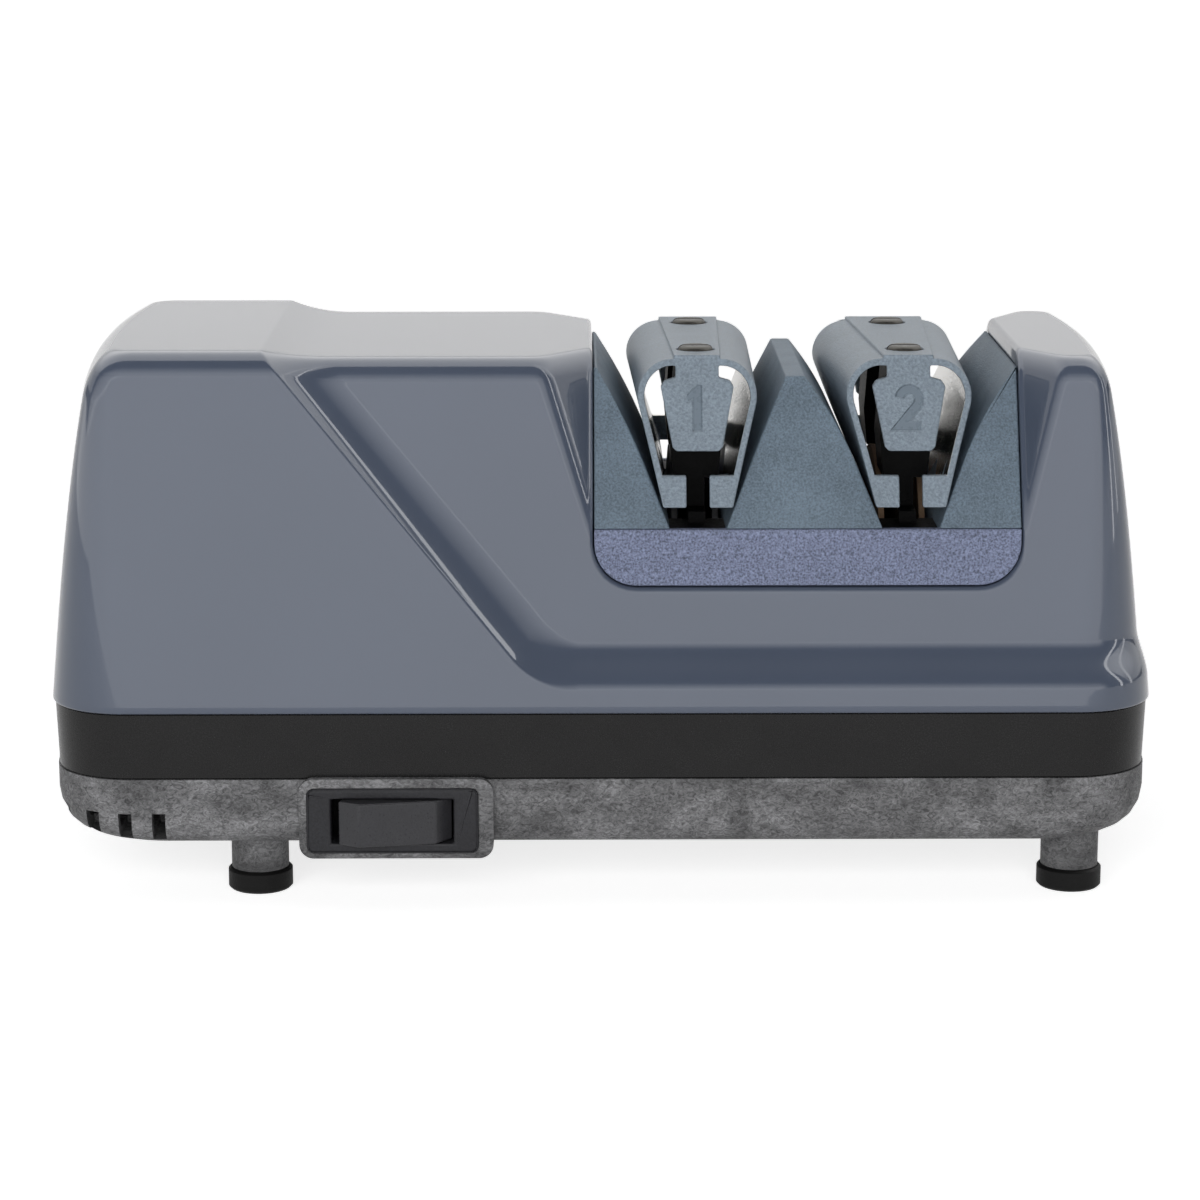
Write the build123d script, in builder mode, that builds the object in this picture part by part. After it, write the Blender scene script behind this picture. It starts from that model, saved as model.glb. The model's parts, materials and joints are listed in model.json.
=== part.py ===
"""Electric knife sharpener with two stages, built as an assembly of separate pieces.

Millimetres. +X runs from the motor end towards the stages' end, +Y to the rear and +Z up.
The origin lies on the surface that the feet stand on, at the middle of the part's outline.
Every piece is one node, written to parts/ under its own name.
"""

import os
from math import asin, atan2, cos, degrees, hypot, radians, sin, sqrt, tan

from build123d import *

os.makedirs("parts", exist_ok=True)

# ---------------------------------------------------------------- driving dimensions
# case: the glossy upper shell
case_width = 235.0        # over the bowed ends, at the seam
case_depth = 103.0        # over the flat faces, at the seam
case_top = 114.8          # highest point above the table
seam_height = 40.9        # where the case meets the band
bow_radius = 300.0        # plan radius of the bowed ends
plan_corner = 17.0        # plan radius of the upright corners
face_lean = 8.0           # each long face leans in by this much, seam to top
end_lean = 7.2            # each end leans in by this much, seam to top
end_curl = 3.2            # and curls in by this much more near the top
corner_draft = 7.0        # the upright corners tighten by this much, seam to top
shoulder_drop = 11.0      # height of the rounding from the ends into the top
shoulder_run = 6.0        # and its width
crown_radius = 4.6        # rounding from the long faces into the top
case_wall = 2.5

# recessed part of the case, right of the slanting step
step_depth = 5.0          # recess in the long faces
step_top = 2.0            # recess in the top
step_end = 1.5            # recess in the right-hand end
step_margin = 13.8        # foot of the slanting step to the window's left edge
step_angle = 50.75        # slope of the step, from level
step_run = 6.9            # width of the slanting step face
ledge_height = 48.6       # outer edge of the level ledge
ledge_run = 2.9           # rise of the ledge over its depth
step_outer_corner = 18.0
step_inner_corner = 10.0

# window for the stages, cut through the case from front to rear
window_margin_left = 21.7     # stage 1 to the window's left edge
window_margin_right = 23.1    # stage 2 to the window's right edge
window_floor = 66.0
window_corner = 9.0
window_gap = 0.25         # clearance of what sits in the window

# sharpening stages
stage_inset = 53.6        # stage 2 to the right-hand end of the case
stage_pitch = 44.0        # stage 1 to stage 2
sill_top = 77.9           # top edge of the lower panels
sill_thickness = 2.3
peg_radius = 2.0          # pegs on the back of the lower panels
peg_length = 4.0
peg_root = 1.0            # how far each peg starts inside the panel
peg_drop = 6.0            # pegs below the panels' top edge
peg_inset = 4.0           # outer pegs from the block's ends
slot_floor_half = 5.85    # half width between the guide faces at the sill
guide_angle = 22.6        # guide faces, from upright
centre_wedge_drop = 7.2   # centre wedge below the case's top
flare_height = 17.6       # the guide faces open over this height
centre_wedge_half = 1.95
centre_wedge_shift = -1.4     # its top, from the middle between the stages
outer_flares = (19.8, 21.3)   # half opening at that height, stage 1 left and stage 2 right
outer_wedge_drop = 5.5
wedge_setback = 0.3       # the wedges' faces behind the case's face at the sill
wedge_face_run = 14.3     # they lean in by this much, up to the centre wedge's top
disc_clearance = 3.3      # discs to the ledges that the carriers stand on
web_end = 4.9             # how far the carriers' webs reach over those ledges
carrier_ledge = 70.0      # height of those ledges
hub_pocket_half = 12.0
hub_pocket_rise = 9.0     # above the shaft

# guide arches
arch_rise = 4.4           # foot of the arches above the lower panels
arch_drop = 3.3           # their tops below the case's top
arch_foot_half = 7.2      # half width over the legs at the bottom
arch_corner = 7.4
arch_wall = 1.4
arch_setback = 0.2        # foot of the arches' leaning ends behind the wedges' faces
arch_face_run = 12.2      # the ends lean in by this much, foot to top
arch_flats_front = (4.8, 5.2)   # half width of the flat top at the front, arch 1 and arch 2
arch_flats_rear = (6.5, 8.6)    # and at the rear
strip_height = 0.8
tab_thickness = 1.6
tab_neck_half = 4.5
tab_shoulder_half = 7.6
tab_shoulder_drop = 4.9   # below the arch's top
tab_fall = 1.2            # the tab's shoulders round off over this height
tab_foot_half = 5.2
tab_foot_drop = 18.2
tab_chamfer = 0.8
heel_height = 6.2         # small tabs at the foot of each leg
heel_gap_half = 2.4
seat_depth = 1.2          # screw seats below the top of the strip
digit_height = 9.0
digit_stroke = 1.8
digit_depth = 0.35
digit_foot_drop = 14.2

# carriers between the discs, and the screws that hold the arches on them
web_half = 1.8            # half thickness of the web between the discs
web_rise = 18.0           # above the shaft
web_notch = 11.0          # clears the spring and the shaft
tower_inner = 13.0        # the towers stand between these two distances from the middle
tower_outer = 27.5
tower_rise = 24.0         # they widen this far above the shaft, clear of the discs
tower_waist = 4.6
tower_half = 5.4          # half width at the widest
tower_flare = 8.0         # and are widest this much higher
tower_top_half = 4.3
guide_screw_y = 20.5
guide_head_radius = 3.7
guide_head_height = 1.9
guide_shank = 1.5
guide_slot_depth = 0.9
guide_dome = 1.14         # rounding of the heads
guide_shank_length = 9.0
pilot_gap = 0.05

# drive line
shaft_height = 62.0
shaft_radius = 4.0
run_gap = 0.03            # radial running clearance on the shaft
shaft_overhang = 3.0      # beyond the fan
shaft_stub = 1.5          # beyond the end bearing
shaft_chamfer = 0.5
disc_radius = 26.0
disc_inner_face = 3.7     # offset of the discs' inner faces from the stage's centre
disc_outer_face = 5.6
disc_rim_face = 4.9
disc_cone_start = 18.0
hub_radius = 8.0
hub_reach = 9.6
pin_radius = 1.5
pin_length = 15.0
groove_floor = 7.0
spring_wire = 0.5
spring_radius = 6.3
spring_turns = 3
axle_groove_radius = 7.0  # clears the shaft under the wedges

# motor
stack_inset = 41.5        # left-hand end of the case to the stator
stack_length = 32.0
stack_size = 66.0
stack_corner = 4.0
rotor_radius = 20.8
rotor_length = 30.0
air_gap = 0.5
slot_count = 12
slot_width = 5.0
slot_outer = 29.0
winding_inner = 22.6
winding_gap = 0.1
winding_overhang = 7.0
winding_ring = 5.0
bar_count = 14
bar_radius = 1.55
bar_circle = 17.3
ring_inner = 14.8
ring_outer = 19.8
ring_thickness = 2.5
bolt_spacing = 55.0
bolt_radius = 2.0
bolt_head = 3.6
bolt_head_height = 3.0
bracket_size = 65.0
bracket_thickness = 3.0
bracket_corner = 6.0
bracket_window_radius = 8.0   # openings in the bracket plates
bracket_window_circle = 23.0
bracket_gap = 9.0         # between the stack and each bracket plate
standoff_radius = 4.4
boss_radius = 10.0
bearing_radius = 7.0
bearing_length = 8.0
bracket_foot_y = 24.0
bracket_foot_width = 9.0
bracket_foot_length = 9.0
bracket_foot_height = 21.0
bracket_post_radius = 4.5
foot_flange = 2.5         # thickness of the brackets' feet
bracket_screw_foot = 4.0  # tips of the brackets' screws above the underside
small_head = 3.0          # heads of the small screws
small_head_height = 1.8
driver_slot_half = 0.5
fan_clearance = 5.0       # fan to the left bracket
fan_width = 11.0
fan_radius = 27.0
fan_hub = 7.5
fan_disc = 1.5
blade_count = 9
blade_thickness = 1.6

# shaft's far end
pedestal_inset = 24.5     # right-hand end of the case to the pedestal
pedestal_thickness = 4.0
pedestal_half_width = 18.0
pedestal_foot_length = 9.0
pedestal_foot_thickness = 3.0
pedestal_screw_inset = 5.0
pedestal_screw_foot = 0.5 # tips of its screws above the underside

# band and base
band_end_inset = 0.6      # top of the band behind the case's ends
band_draft = 0.5          # its ends lean in by this much, top to foot
band_face_inset = 0.7     # band behind the case's long faces
band_corner_inset = 0.5
band_wall = 2.4
base_top = 26.9
base_floor = 12.6
base_end_inset = 0.8      # base behind the case's ends
base_face_inset = 0.5     # and behind its long faces
base_wall = 2.5
base_end_radius = 9.5     # rounding from the ends into the underside
base_face_radius = 5.0    # rounding from the long faces into the underside

# feet
foot_left_inset = 45.2    # left-hand end of the case to the left pair
foot_right_inset = 18.2   # right-hand end to the right pair
foot_face_inset = 14.0    # long faces to the feet
foot_boss_radius = 6.05
foot_pad_radius = 6.8
foot_pad_height = 4.6
foot_stud_radius = 3.0
foot_stud_length = 4.0
foot_chamfer = 0.5

# screws that join base, band and case
screw_left_inset = 33.5   # left-hand end of the case to the left pair
screw_right_inset = 37.5  # right-hand end to the right pair
screw_face_inset = 13.0   # long faces to the screws
screw_shank = 1.7
screw_head = 3.3
screw_head_height = 2.0
screw_seat = 30.0
screw_length = 24.0
tower_radius = 5.4
post_radius = 4.2
rib_half = 1.5            # half thickness of the ribs that tie the posts to the case
rib_foot = 5.0            # the ribs start this far above the seam

# screws that hold the stage block under the case
block_screw_out = 5.0     # beyond the window's edge
block_screw_inset = 14.9  # long faces to these screws
block_tab_reach = 9.5     # the block's tabs beyond its ends
block_tab_half = 4.0
block_tab_thickness = 3.0
block_post_radius = 3.2
block_screw_length = 10.0

# power switch
pod_inset = 74.85         # left-hand end of the case to the middle of the switch's boss
switch_shift = -0.75      # switch from the middle of that boss
switch_z = 18.6
pod_width = 40.3
pod_height = 17.0
pod_z = 18.9
pod_proud = 1.1           # the boss stands in front of the case's face
pod_depth = 22.6          # and runs in under the base
pod_corner = 3.0
bezel_width = 35.5
bezel_height = 13.8
bezel_proud = 0.8
bezel_corner = 1.5
bezel_chamfer = 0.3
aperture_width = 25.3
aperture_height = 9.6
sleeve_wall = 1.3
sleeve_depth = 6.6
rocker_sunk = 3.6         # rocker's axis behind the boss's face
rocker_face = 6.8         # rocker face from its axis
rocker_half = 8.0         # half length of the flat face
rocker_end_half = 11.9
rocker_end_face = 3.6
rocker_heel = (10.5, -1.0)    # back corner of each end, from the axis
rocker_root = (4.0, 2.0)      # back of the rocker, from the axis
rocker_tilt = 9.8         # tilt each side of the middle
rocker_gap = 0.2
rocker_pin = 1.2
switch_depth = 13.0
switch_edge = 0.8         # rounding of the switch's body
blade_width = 4.0
blade_length = 6.0
blade_metal = 0.8
blade_pitch = 7.0

# vents
vent_inset = 25.5         # left-hand end of the case to the first vent
vent_pitch = 7.0
vent_count = 4
vent_width = 2.8
vent_top = 19.6
vent_depth = 15.5         # how far each vent runs in under the base
vent_floor = 1.0          # solid left under each vent

# clean-out cover and swarf magnet
cover_length = 58.0
cover_width = 26.0
cover_plate = 1.4
cover_lip = 3.0
cover_lip_wall = 1.4
cover_rebate = 3.2        # overlap of the cover's plate on the floor
fit_gap = 0.3
cover_edge = 0.3          # rounding of the plate's corners
magnet_margin = 7.0       # magnet inside the cover's outline
magnet_height = 3.0
magnet_chamfer = 0.6

# dressing lever
lever_pivot_y = 30.0
lever_height = 44.0
lever_thickness = 2.4
lever_hub = 5.0
lever_arm_half = 3.5
lever_proud = 4.5         # the lever stands behind the case's rear face
lever_bridge_half = 2.2
lever_edge = 1.5
lever_slot_depth = 6.0
lever_slot_play = 1.0     # above and below the lever
lever_slot_half = 5.6
lever_pad_y = 16.0
pad_gap = 1.4
pad_thickness = 1.5
pad_height = 8.0
pad_width = 7.0
prong_thickness = 2.5
lever_pin_radius = 2.0
lever_pin_head = 3.4
lever_pin_head_height = 1.2
lever_pin_foot = 6.0      # its tip above the floor of the base

# cord gland
gland_inset = 51.5        # left-hand end of the case to the gland
gland_z = 20.0
gland_bore = 3.5
gland_radius = 5.0
gland_flange = 6.7
gland_flange_thickness = 1.6
gland_tail = 2.0          # how far it stands in behind the wall
gland_chamfer = 1.0

touch = 0.1               # gap between faces that bear on each other
over = 2.0                # how far a cutting body stands past what it cuts
root = 1.0                # how far a boss starts inside what it stands on

# ---------------------------------------------------------------- derived values
half_width = case_width / 2
half_depth = case_depth / 2
case_rise = case_top - seam_height
face_angle = degrees(atan2(face_lean, case_rise))
stages = (half_width - stage_inset - stage_pitch, half_width - stage_inset)
stages_middle = sum(stages) / 2
window_left = stages[0] - window_margin_left
window_right = stages[1] + window_margin_right
window_width = window_right - window_left
window_middle = (window_left + window_right) / 2
block_left = window_left + window_gap
block_right = window_right - window_gap
block_bottom = window_floor + window_gap
block_screw_y = half_depth - block_screw_inset
block_posts = [(x, y) for x in (window_left - block_screw_out, window_right + block_screw_out)
               for y in (-block_screw_y, block_screw_y)]
screw_y = half_depth - screw_face_inset
base_posts = [(x, y) for x in (screw_left_inset - half_width, half_width - screw_right_inset)
              for y in (-screw_y, screw_y)]
post_top = screw_seat + screw_length + over
pod_x = pod_inset - half_width
pod_face = half_depth + pod_proud
pod_back = pod_face - pod_depth
switch_x = pod_x + switch_shift
rocker_pivot = pod_face - rocker_sunk
reach = rocker_pivot + rocker_half * sin(radians(rocker_tilt)) + rocker_face * cos(radians(rocker_tilt))
pin_offset = groove_floor + pin_radius + pilot_gap
stack_left = stack_inset - half_width
stack_right = stack_left + stack_length
rotor_middle = (stack_left + stack_right) / 2
bracket_left_x = stack_left - bracket_gap - bracket_thickness
bracket_right_x = stack_right + bracket_gap
fan_left = bracket_left_x - fan_clearance - fan_width
pedestal_x = half_width - pedestal_inset
end_bearing_x = pedestal_x + pedestal_thickness / 2 - bearing_length / 2
shaft_left = fan_left - shaft_overhang
shaft_right = end_bearing_x + bearing_length + shaft_stub
band_half_depth = half_depth - band_face_inset
base_half_width = half_width - base_end_inset
base_half_depth = half_depth - base_face_inset
centre_wedge_top = case_top - centre_wedge_drop
outer_wedge_top = case_top - outer_wedge_drop
guide_straight_top = centre_wedge_top - flare_height
arch_bottom = sill_top + arch_rise
arch_top = case_top - arch_drop
tab_shoulder_height = arch_top - tab_shoulder_drop
tab_foot_height = arch_top - tab_foot_drop
heel_top = arch_bottom + heel_height
digit_foot = arch_top - digit_foot_drop
web_top = shaft_height + web_rise
tower_start = shaft_height + tower_rise
tower_wide_height = tower_start + tower_flare
ledge_half_depth = disc_radius + disc_clearance
web_half_depth = ledge_half_depth + web_end
floor_top = base_floor + base_wall
far = 150.0               # longer than the part in every direction from its middle


# ---------------------------------------------------------------- helpers
def outline(width, depth, corner):
    """Draw a plan outline from its half sizes: flat long sides, bowed ends, round corners."""
    bow_x = width - bow_radius
    corner_y = depth - corner
    corner_x = bow_x + sqrt((bow_radius - corner) ** 2 - corner_y ** 2)
    turn = degrees(atan2(corner_y, corner_x - bow_x))
    with BuildLine() as loop:
        Line((-corner_x, -depth), (corner_x, -depth))
        CenterArc((corner_x, -corner_y), corner, -90, 90 - turn)
        CenterArc((bow_x, 0), bow_radius, -turn, 2 * turn)
        CenterArc((corner_x, corner_y), corner, turn, 90 - turn)
        Line((corner_x, depth), (-corner_x, depth))
        CenterArc((-corner_x, corner_y), corner, 90, 90 - turn)
        CenterArc((-bow_x, 0), bow_radius, 180 - turn, 2 * turn)
        CenterArc((-corner_x, -corner_y), corner, 180 + turn, 90 - turn)
    make_face(loop.edges())


def stack(levels):
    """Loft a solid through plan outlines, each (height, half width, half depth, corner)."""
    with BuildPart() as solid:
        for height, width, depth, corner in levels:
            with BuildSketch(Plane.XY.offset(height)):
                outline(width, depth, corner)
        loft(ruled=True)
    return solid.part


def rounding(rise, radius):
    """How far a quarter-round has drawn in, at a rise above its start."""
    rise = min(max(rise, 0.0), radius)
    return radius - sqrt(radius ** 2 - rise ** 2)


def case_levels(side_inset=0.0, end_inset=0.0, top_inset=0.0):
    """Plan outlines of the case from the seam to the top, with its faces moved inwards."""
    top = case_top - top_inset
    drop = max(shoulder_drop - top_inset, 1.0)
    run = max(shoulder_run - end_inset, 1.0)
    crown = max(crown_radius - top_inset, 1.0)
    heights = [seam_height, seam_height + 0.3 * case_rise, seam_height + 0.6 * case_rise]
    heights += [top - drop * (1 - sin(radians(a))) for a in (0, 20, 38, 52, 65, 76, 84, 90)]
    levels = []
    for height in heights:
        t = (height - seam_height) / case_rise
        width = half_width - end_inset - end_lean * t - end_curl * t ** 3
        width -= rounding(height - top + drop, drop) * run / drop
        depth = half_depth - side_inset - face_lean * t
        depth -= rounding(height - top + crown, crown)
        levels.append((height, width, depth, plan_corner - end_inset - corner_draft * t))
    return levels


def step_outline(depth, grow):
    """Draw the recess's outline at a depth below the face, grown by a wall thickness."""
    slope = radians(step_angle)
    share = depth / step_depth
    shift = share * step_run - grow
    rise = share * ledge_run - grow
    ledge = ledge_height - seam_height + rise
    foot_x = window_left - step_margin + shift / sin(slope) - rise / tan(slope)
    corner = max(step_outer_corner + (step_inner_corner - step_outer_corner) * share - grow, 2.0)
    trim = corner * tan(slope / 2)
    high = ledge + case_top
    with BuildLine() as loop:
        Line((far, ledge), (foot_x + trim, ledge))
        CenterArc((foot_x + trim, ledge + corner), corner, -90, -step_angle)
        Polyline(
            (foot_x - trim * cos(slope), ledge + trim * sin(slope)),
            (foot_x - case_top / tan(slope), high), (far, high), (far, ledge))
    make_face(loop.edges())


def recess_region(grow=0.0):
    """The space right of the slanting step and above the ledge, on both long faces."""
    lean = radians(face_angle)
    face = Plane(origin=(0, -half_depth, seam_height), x_dir=(1, 0, 0), z_dir=(0, -cos(lean), sin(lean)))
    middle = Plane(origin=(0, 0, seam_height), x_dir=(1, 0, 0), z_dir=(0, -1, 0))
    with BuildPart() as region:
        for depth in (-over, step_depth + over):
            with BuildSketch(face.offset(-depth)):
                step_outline(depth, grow)
        loft(ruled=True)
        mirror(about=Plane.XZ)
        with BuildSketch(middle):
            step_outline(step_depth + over, grow)
        extrude(amount=far, both=True)
    return region.part


def case_solid(inset=0.0):
    """The case's outer form as a solid, or the same form with every face moved inwards."""
    recessed = stack(case_levels(inset + step_depth, inset + step_end, inset + step_top))
    with BuildPart() as beyond_step:
        add(recess_region(inset))
        add(recessed, mode=Mode.SUBTRACT)
    with BuildPart() as solid:
        add(stack(case_levels(inset, inset, inset)))
        add(beyond_step.part, mode=Mode.SUBTRACT)
    return solid.part


def recessed_half_depth(height):
    """Half depth of the recessed long faces at a height."""
    return half_depth - step_depth - face_lean * (height - seam_height) / case_rise


def base_levels(inset=0.0, top=base_top):
    """Plan outlines of the base from its underside up to the band."""
    floor = base_floor + inset
    end_radius = base_end_radius - inset
    face_radius = base_face_radius - inset
    levels = []
    for height in [floor + end_radius * (1 - cos(radians(a))) for a in (0, 12, 24, 38, 52, 70, 90)] + [top]:
        width = base_half_width - inset - rounding(floor + end_radius - height, end_radius)
        depth = base_half_depth - inset - rounding(floor + face_radius - height, face_radius)
        levels.append((height, width, depth, plan_corner - inset))
    return levels


def on_shaft(x, y=0.0, z=shaft_height):
    """A plane across the shaft's line, its normal along +X."""
    return Plane(origin=(x, y, z), x_dir=(0, 1, 0), z_dir=(1, 0, 0))


def ring(start, length, outer, inner=0.0, mode=Mode.ADD):
    """Add a round bar or ring on the shaft's line."""
    with BuildSketch(on_shaft(start)) as section:
        Circle(outer)
        if inner:
            Circle(inner, mode=Mode.SUBTRACT)
    extrude(section.sketch, amount=length, mode=mode)


def upright(places, radius, bottom, top, mode=Mode.ADD):
    """Add upright round bars, or drill them, at places in plan."""
    with BuildSketch(Plane.XY.offset(bottom)) as section:
        with Locations(*places):
            Circle(radius)
    extrude(section.sketch, amount=top - bottom, mode=mode)


def block(x, y, z, mode=Mode.ADD):
    """Add a box from its (low, high) extents in X, Y and Z."""
    with Locations(((x[0] + x[1]) / 2, (y[0] + y[1]) / 2, (z[0] + z[1]) / 2)):
        Box(x[1] - x[0], y[1] - y[0], z[1] - z[0], mode=mode)


def leaning_prism(foot, foot_z, top, top_z, low, high):
    """A long prism whose two long faces lean: half depth foot at foot_z, top at top_z."""
    slope = (top - foot) / (top_z - foot_z)
    at_low = foot + slope * (low - foot_z)
    at_high = foot + slope * (high - foot_z)
    with BuildPart() as prism:
        with BuildSketch(on_shaft(-far, 0, 0)):
            with BuildLine():
                Polyline((-at_low, low), (at_low, low), (at_high, high), (-at_high, high), close=True)
            make_face()
        extrude(amount=2 * far)
    return prism.part


def save(piece, name):
    """Label a finished piece and write it as its own node."""
    piece.part.label = name
    export_step(piece.part, f"parts/{name}.step")


# ---------------------------------------------------------------- case
case_outer = case_solid()
case_middle = case_solid(case_wall / 2)
block_tab_top = block_bottom + block_tab_thickness

with BuildPart() as posts:
    upright(base_posts, post_radius, seam_height + touch, post_top)
    for x, y in base_posts:
        side = 1 if y > 0 else -1
        block((x - rib_half, x + rib_half), sorted((y, side * half_depth)),
              (seam_height + rib_foot, post_top))
    upright(block_posts, block_post_radius, block_tab_top + touch, case_top)
    add(case_middle, mode=Mode.INTERSECT)
    upright(base_posts, screw_shank + pilot_gap, seam_height, post_top - over, Mode.SUBTRACT)
    upright(block_posts, guide_shank + pilot_gap, block_bottom, block_bottom + block_screw_length + over,
            Mode.SUBTRACT)

with BuildPart() as cheeks:
    for x in ((window_left - case_wall, window_left), (window_right, window_right + case_wall)):
        block(x, (-far, far), (block_tab_top + touch, case_top))
    add(case_middle, mode=Mode.INTERSECT)

with BuildPart() as upper_housing:
    add(case_outer)
    add(case_solid(case_wall), mode=Mode.SUBTRACT)
    add(posts.part)
    add(cheeks.part)
    with BuildSketch(Plane.XZ) as window_cut:
        with Locations((window_middle, window_floor + case_top / 2)):
            Rectangle(window_width, case_top)
        fillet(window_cut.vertices().group_by(Axis.Z)[0], window_corner)
    extrude(amount=far, both=True, mode=Mode.SUBTRACT)
    block((stages[1] - lever_slot_half, stages[1] + lever_slot_half),
          (half_depth - lever_slot_depth, half_depth + over),
          (lever_height - lever_slot_play, lever_height + lever_thickness + lever_slot_play), Mode.SUBTRACT)
save(upper_housing, "upper_housing")

# ---------------------------------------------------------------- band
band_foot = base_top + touch
band_top = seam_height - touch
band_top_half_width = half_width - band_end_inset


def band_levels(inset):
    """Plan outlines of the band's foot and top, moved inwards."""
    ends = ((band_foot, band_top_half_width - band_draft), (band_top, band_top_half_width))
    corner = plan_corner - band_corner_inset - inset
    return [(height, width - inset, band_half_depth - inset, corner) for height, width in ends]


with BuildPart() as trim_band:
    add(stack(band_levels(0.0)))
    add(stack(band_levels(band_wall)), mode=Mode.SUBTRACT)
save(trim_band, "trim_band")

# ---------------------------------------------------------------- base
bracket_screws_at = [(x, y) for x in (bracket_left_x - bracket_foot_length / 2,
                                      bracket_right_x + bracket_thickness + bracket_foot_length / 2)
                     for y in (-bracket_foot_y, bracket_foot_y)]
foot_y = half_depth - foot_face_inset
foot_places = [(x, y) for x in (foot_left_inset - half_width, half_width - foot_right_inset)
               for y in (-foot_y, foot_y)]
pedestal_screw_x = pedestal_x + pedestal_thickness + pedestal_foot_length / 2
pedestal_screw_y = pedestal_half_width - pedestal_screw_inset
pedestal_screws_at = [(pedestal_screw_x, y) for y in (-pedestal_screw_y, pedestal_screw_y)]
vents_at = [vent_inset - half_width - vent_pitch * i for i in range(vent_count)]
vent_inner = half_depth - vent_depth
sleeve_x = (switch_x - aperture_width / 2 - sleeve_wall, switch_x + aperture_width / 2 + sleeve_wall)
sleeve_z = (switch_z - aperture_height / 2 - sleeve_wall, switch_z + aperture_height / 2 + sleeve_wall)
hole_x = (stages_middle - cover_length / 2 + cover_rebate, stages_middle + cover_length / 2 - cover_rebate)
hole_y = (-cover_width / 2 + cover_rebate, cover_width / 2 - cover_rebate)
lever_places = [(stages[1], lever_pivot_y)]

with BuildPart() as pod:
    with BuildSketch(Plane.XZ.offset(pod_back)):
        with Locations((pod_x, pod_z)):
            RectangleRounded(pod_width, pod_height, pod_corner)
    extrude(amount=pod_face - pod_back)
    block((-far, far), (-band_half_depth - touch, 0), (base_top, far), Mode.SUBTRACT)
    block((-far, far), (root - base_half_depth, 0), (floor_top - root, far), Mode.SUBTRACT)

with BuildPart() as base_pan:
    add(stack(base_levels()))
    add(stack(base_levels(base_wall)), mode=Mode.SUBTRACT)
    add(pod.part)
    # pocket for the switch
    block((sleeve_x[0] - touch, sleeve_x[1] + touch), (-far, -pod_back - sleeve_wall),
          (sleeve_z[0] - touch, sleeve_z[1] + touch), Mode.SUBTRACT)
    # towers for the screws, posts for the motor and the lever's pin, bosses for the feet
    upright(base_posts, tower_radius, floor_top - root, seam_height - touch)
    upright(bracket_screws_at, bracket_post_radius, floor_top - root, bracket_foot_height)
    upright(lever_places, bracket_post_radius, floor_top - root, lever_height - touch)
    upright(foot_places, foot_boss_radius, foot_pad_height + touch, floor_top)
    upright(base_posts, screw_head + touch, base_floor - over, screw_seat, Mode.SUBTRACT)
    upright(base_posts, screw_shank + fit_gap, base_floor, seam_height, Mode.SUBTRACT)
    upright(bracket_screws_at, guide_shank + pilot_gap, base_floor + root, bracket_foot_height, Mode.SUBTRACT)
    upright(pedestal_screws_at, guide_shank + pilot_gap, base_floor - over, floor_top, Mode.SUBTRACT)
    upright(lever_places, lever_pin_radius + pilot_gap, floor_top + lever_pin_foot - root, lever_height,
            Mode.SUBTRACT)
    upright(foot_places, foot_stud_radius + pilot_gap, 0, foot_pad_height + touch + foot_stud_length + touch,
            Mode.SUBTRACT)
    # vents in the motor end, front and rear
    for x in vents_at:
        outward = abs(x) + vent_width / 2 - base_half_width + base_end_radius
        vent_bottom = base_floor + vent_floor + rounding(outward, base_end_radius)
        for y in ((-far, -vent_inner), (vent_inner, far)):
            block((x - vent_width / 2, x + vent_width / 2), y, (vent_bottom, vent_top), Mode.SUBTRACT)
    # opening and rebate for the clean-out cover
    block(hole_x, hole_y, (base_floor - over, floor_top), Mode.SUBTRACT)
    block((stages_middle - cover_length / 2 - fit_gap, stages_middle + cover_length / 2 + fit_gap),
          (-cover_width / 2 - fit_gap, cover_width / 2 + fit_gap),
          (base_floor - over, base_floor + cover_plate + touch), Mode.SUBTRACT)
    with BuildSketch(Plane.XZ.offset(-base_half_depth)):
        with Locations((gland_inset - half_width, gland_z)):
            Circle(gland_radius + pilot_gap)
    extrude(amount=base_wall + gland_tail + touch, both=True, mode=Mode.SUBTRACT)
save(base_pan, "base_pan")

# ---------------------------------------------------------------- feet, screws and gland
with BuildPart() as foot_pads:
    upright(foot_places, foot_pad_radius, 0, foot_pad_height)
    chamfer(foot_pads.edges().filter_by(GeomType.CIRCLE), foot_chamfer)
    upright(foot_places, foot_stud_radius, foot_pad_height, foot_pad_height + touch + foot_stud_length)
save(foot_pads, "foot_pads")

with BuildPart() as base_screws:
    upright(base_posts, screw_head, screw_seat - screw_head_height - touch, screw_seat - touch)
    upright(base_posts, screw_shank, screw_seat - touch, screw_seat + screw_length - touch)
    for x, y in base_posts:
        block((x - screw_head, x + screw_head), (y - driver_slot_half, y + driver_slot_half),
              (screw_seat - screw_head_height - touch, screw_seat - screw_head_height / 2 - touch),
              Mode.SUBTRACT)
save(base_screws, "base_screws")

gland_back = base_half_depth - base_wall - gland_tail
with BuildPart() as cord_gland:
    with BuildSketch(Plane.XZ.offset(-gland_back)):
        with Locations((gland_inset - half_width, gland_z)):
            Circle(gland_radius)
    extrude(amount=gland_back - reach)
    with BuildSketch(Plane.XZ.offset(-base_half_depth - touch)):
        with Locations((gland_inset - half_width, gland_z)):
            Circle(gland_flange)
    extrude(amount=-gland_flange_thickness)
    chamfer(cord_gland.edges().filter_by(GeomType.CIRCLE).sort_by(Axis.Y)[-1], gland_chamfer)
    with BuildSketch(Plane.XZ.offset(-gland_back)):
        with Locations((gland_inset - half_width, gland_z)):
            Circle(gland_bore)
    extrude(amount=-far, mode=Mode.SUBTRACT)
save(cord_gland, "cord_gland")

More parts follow.
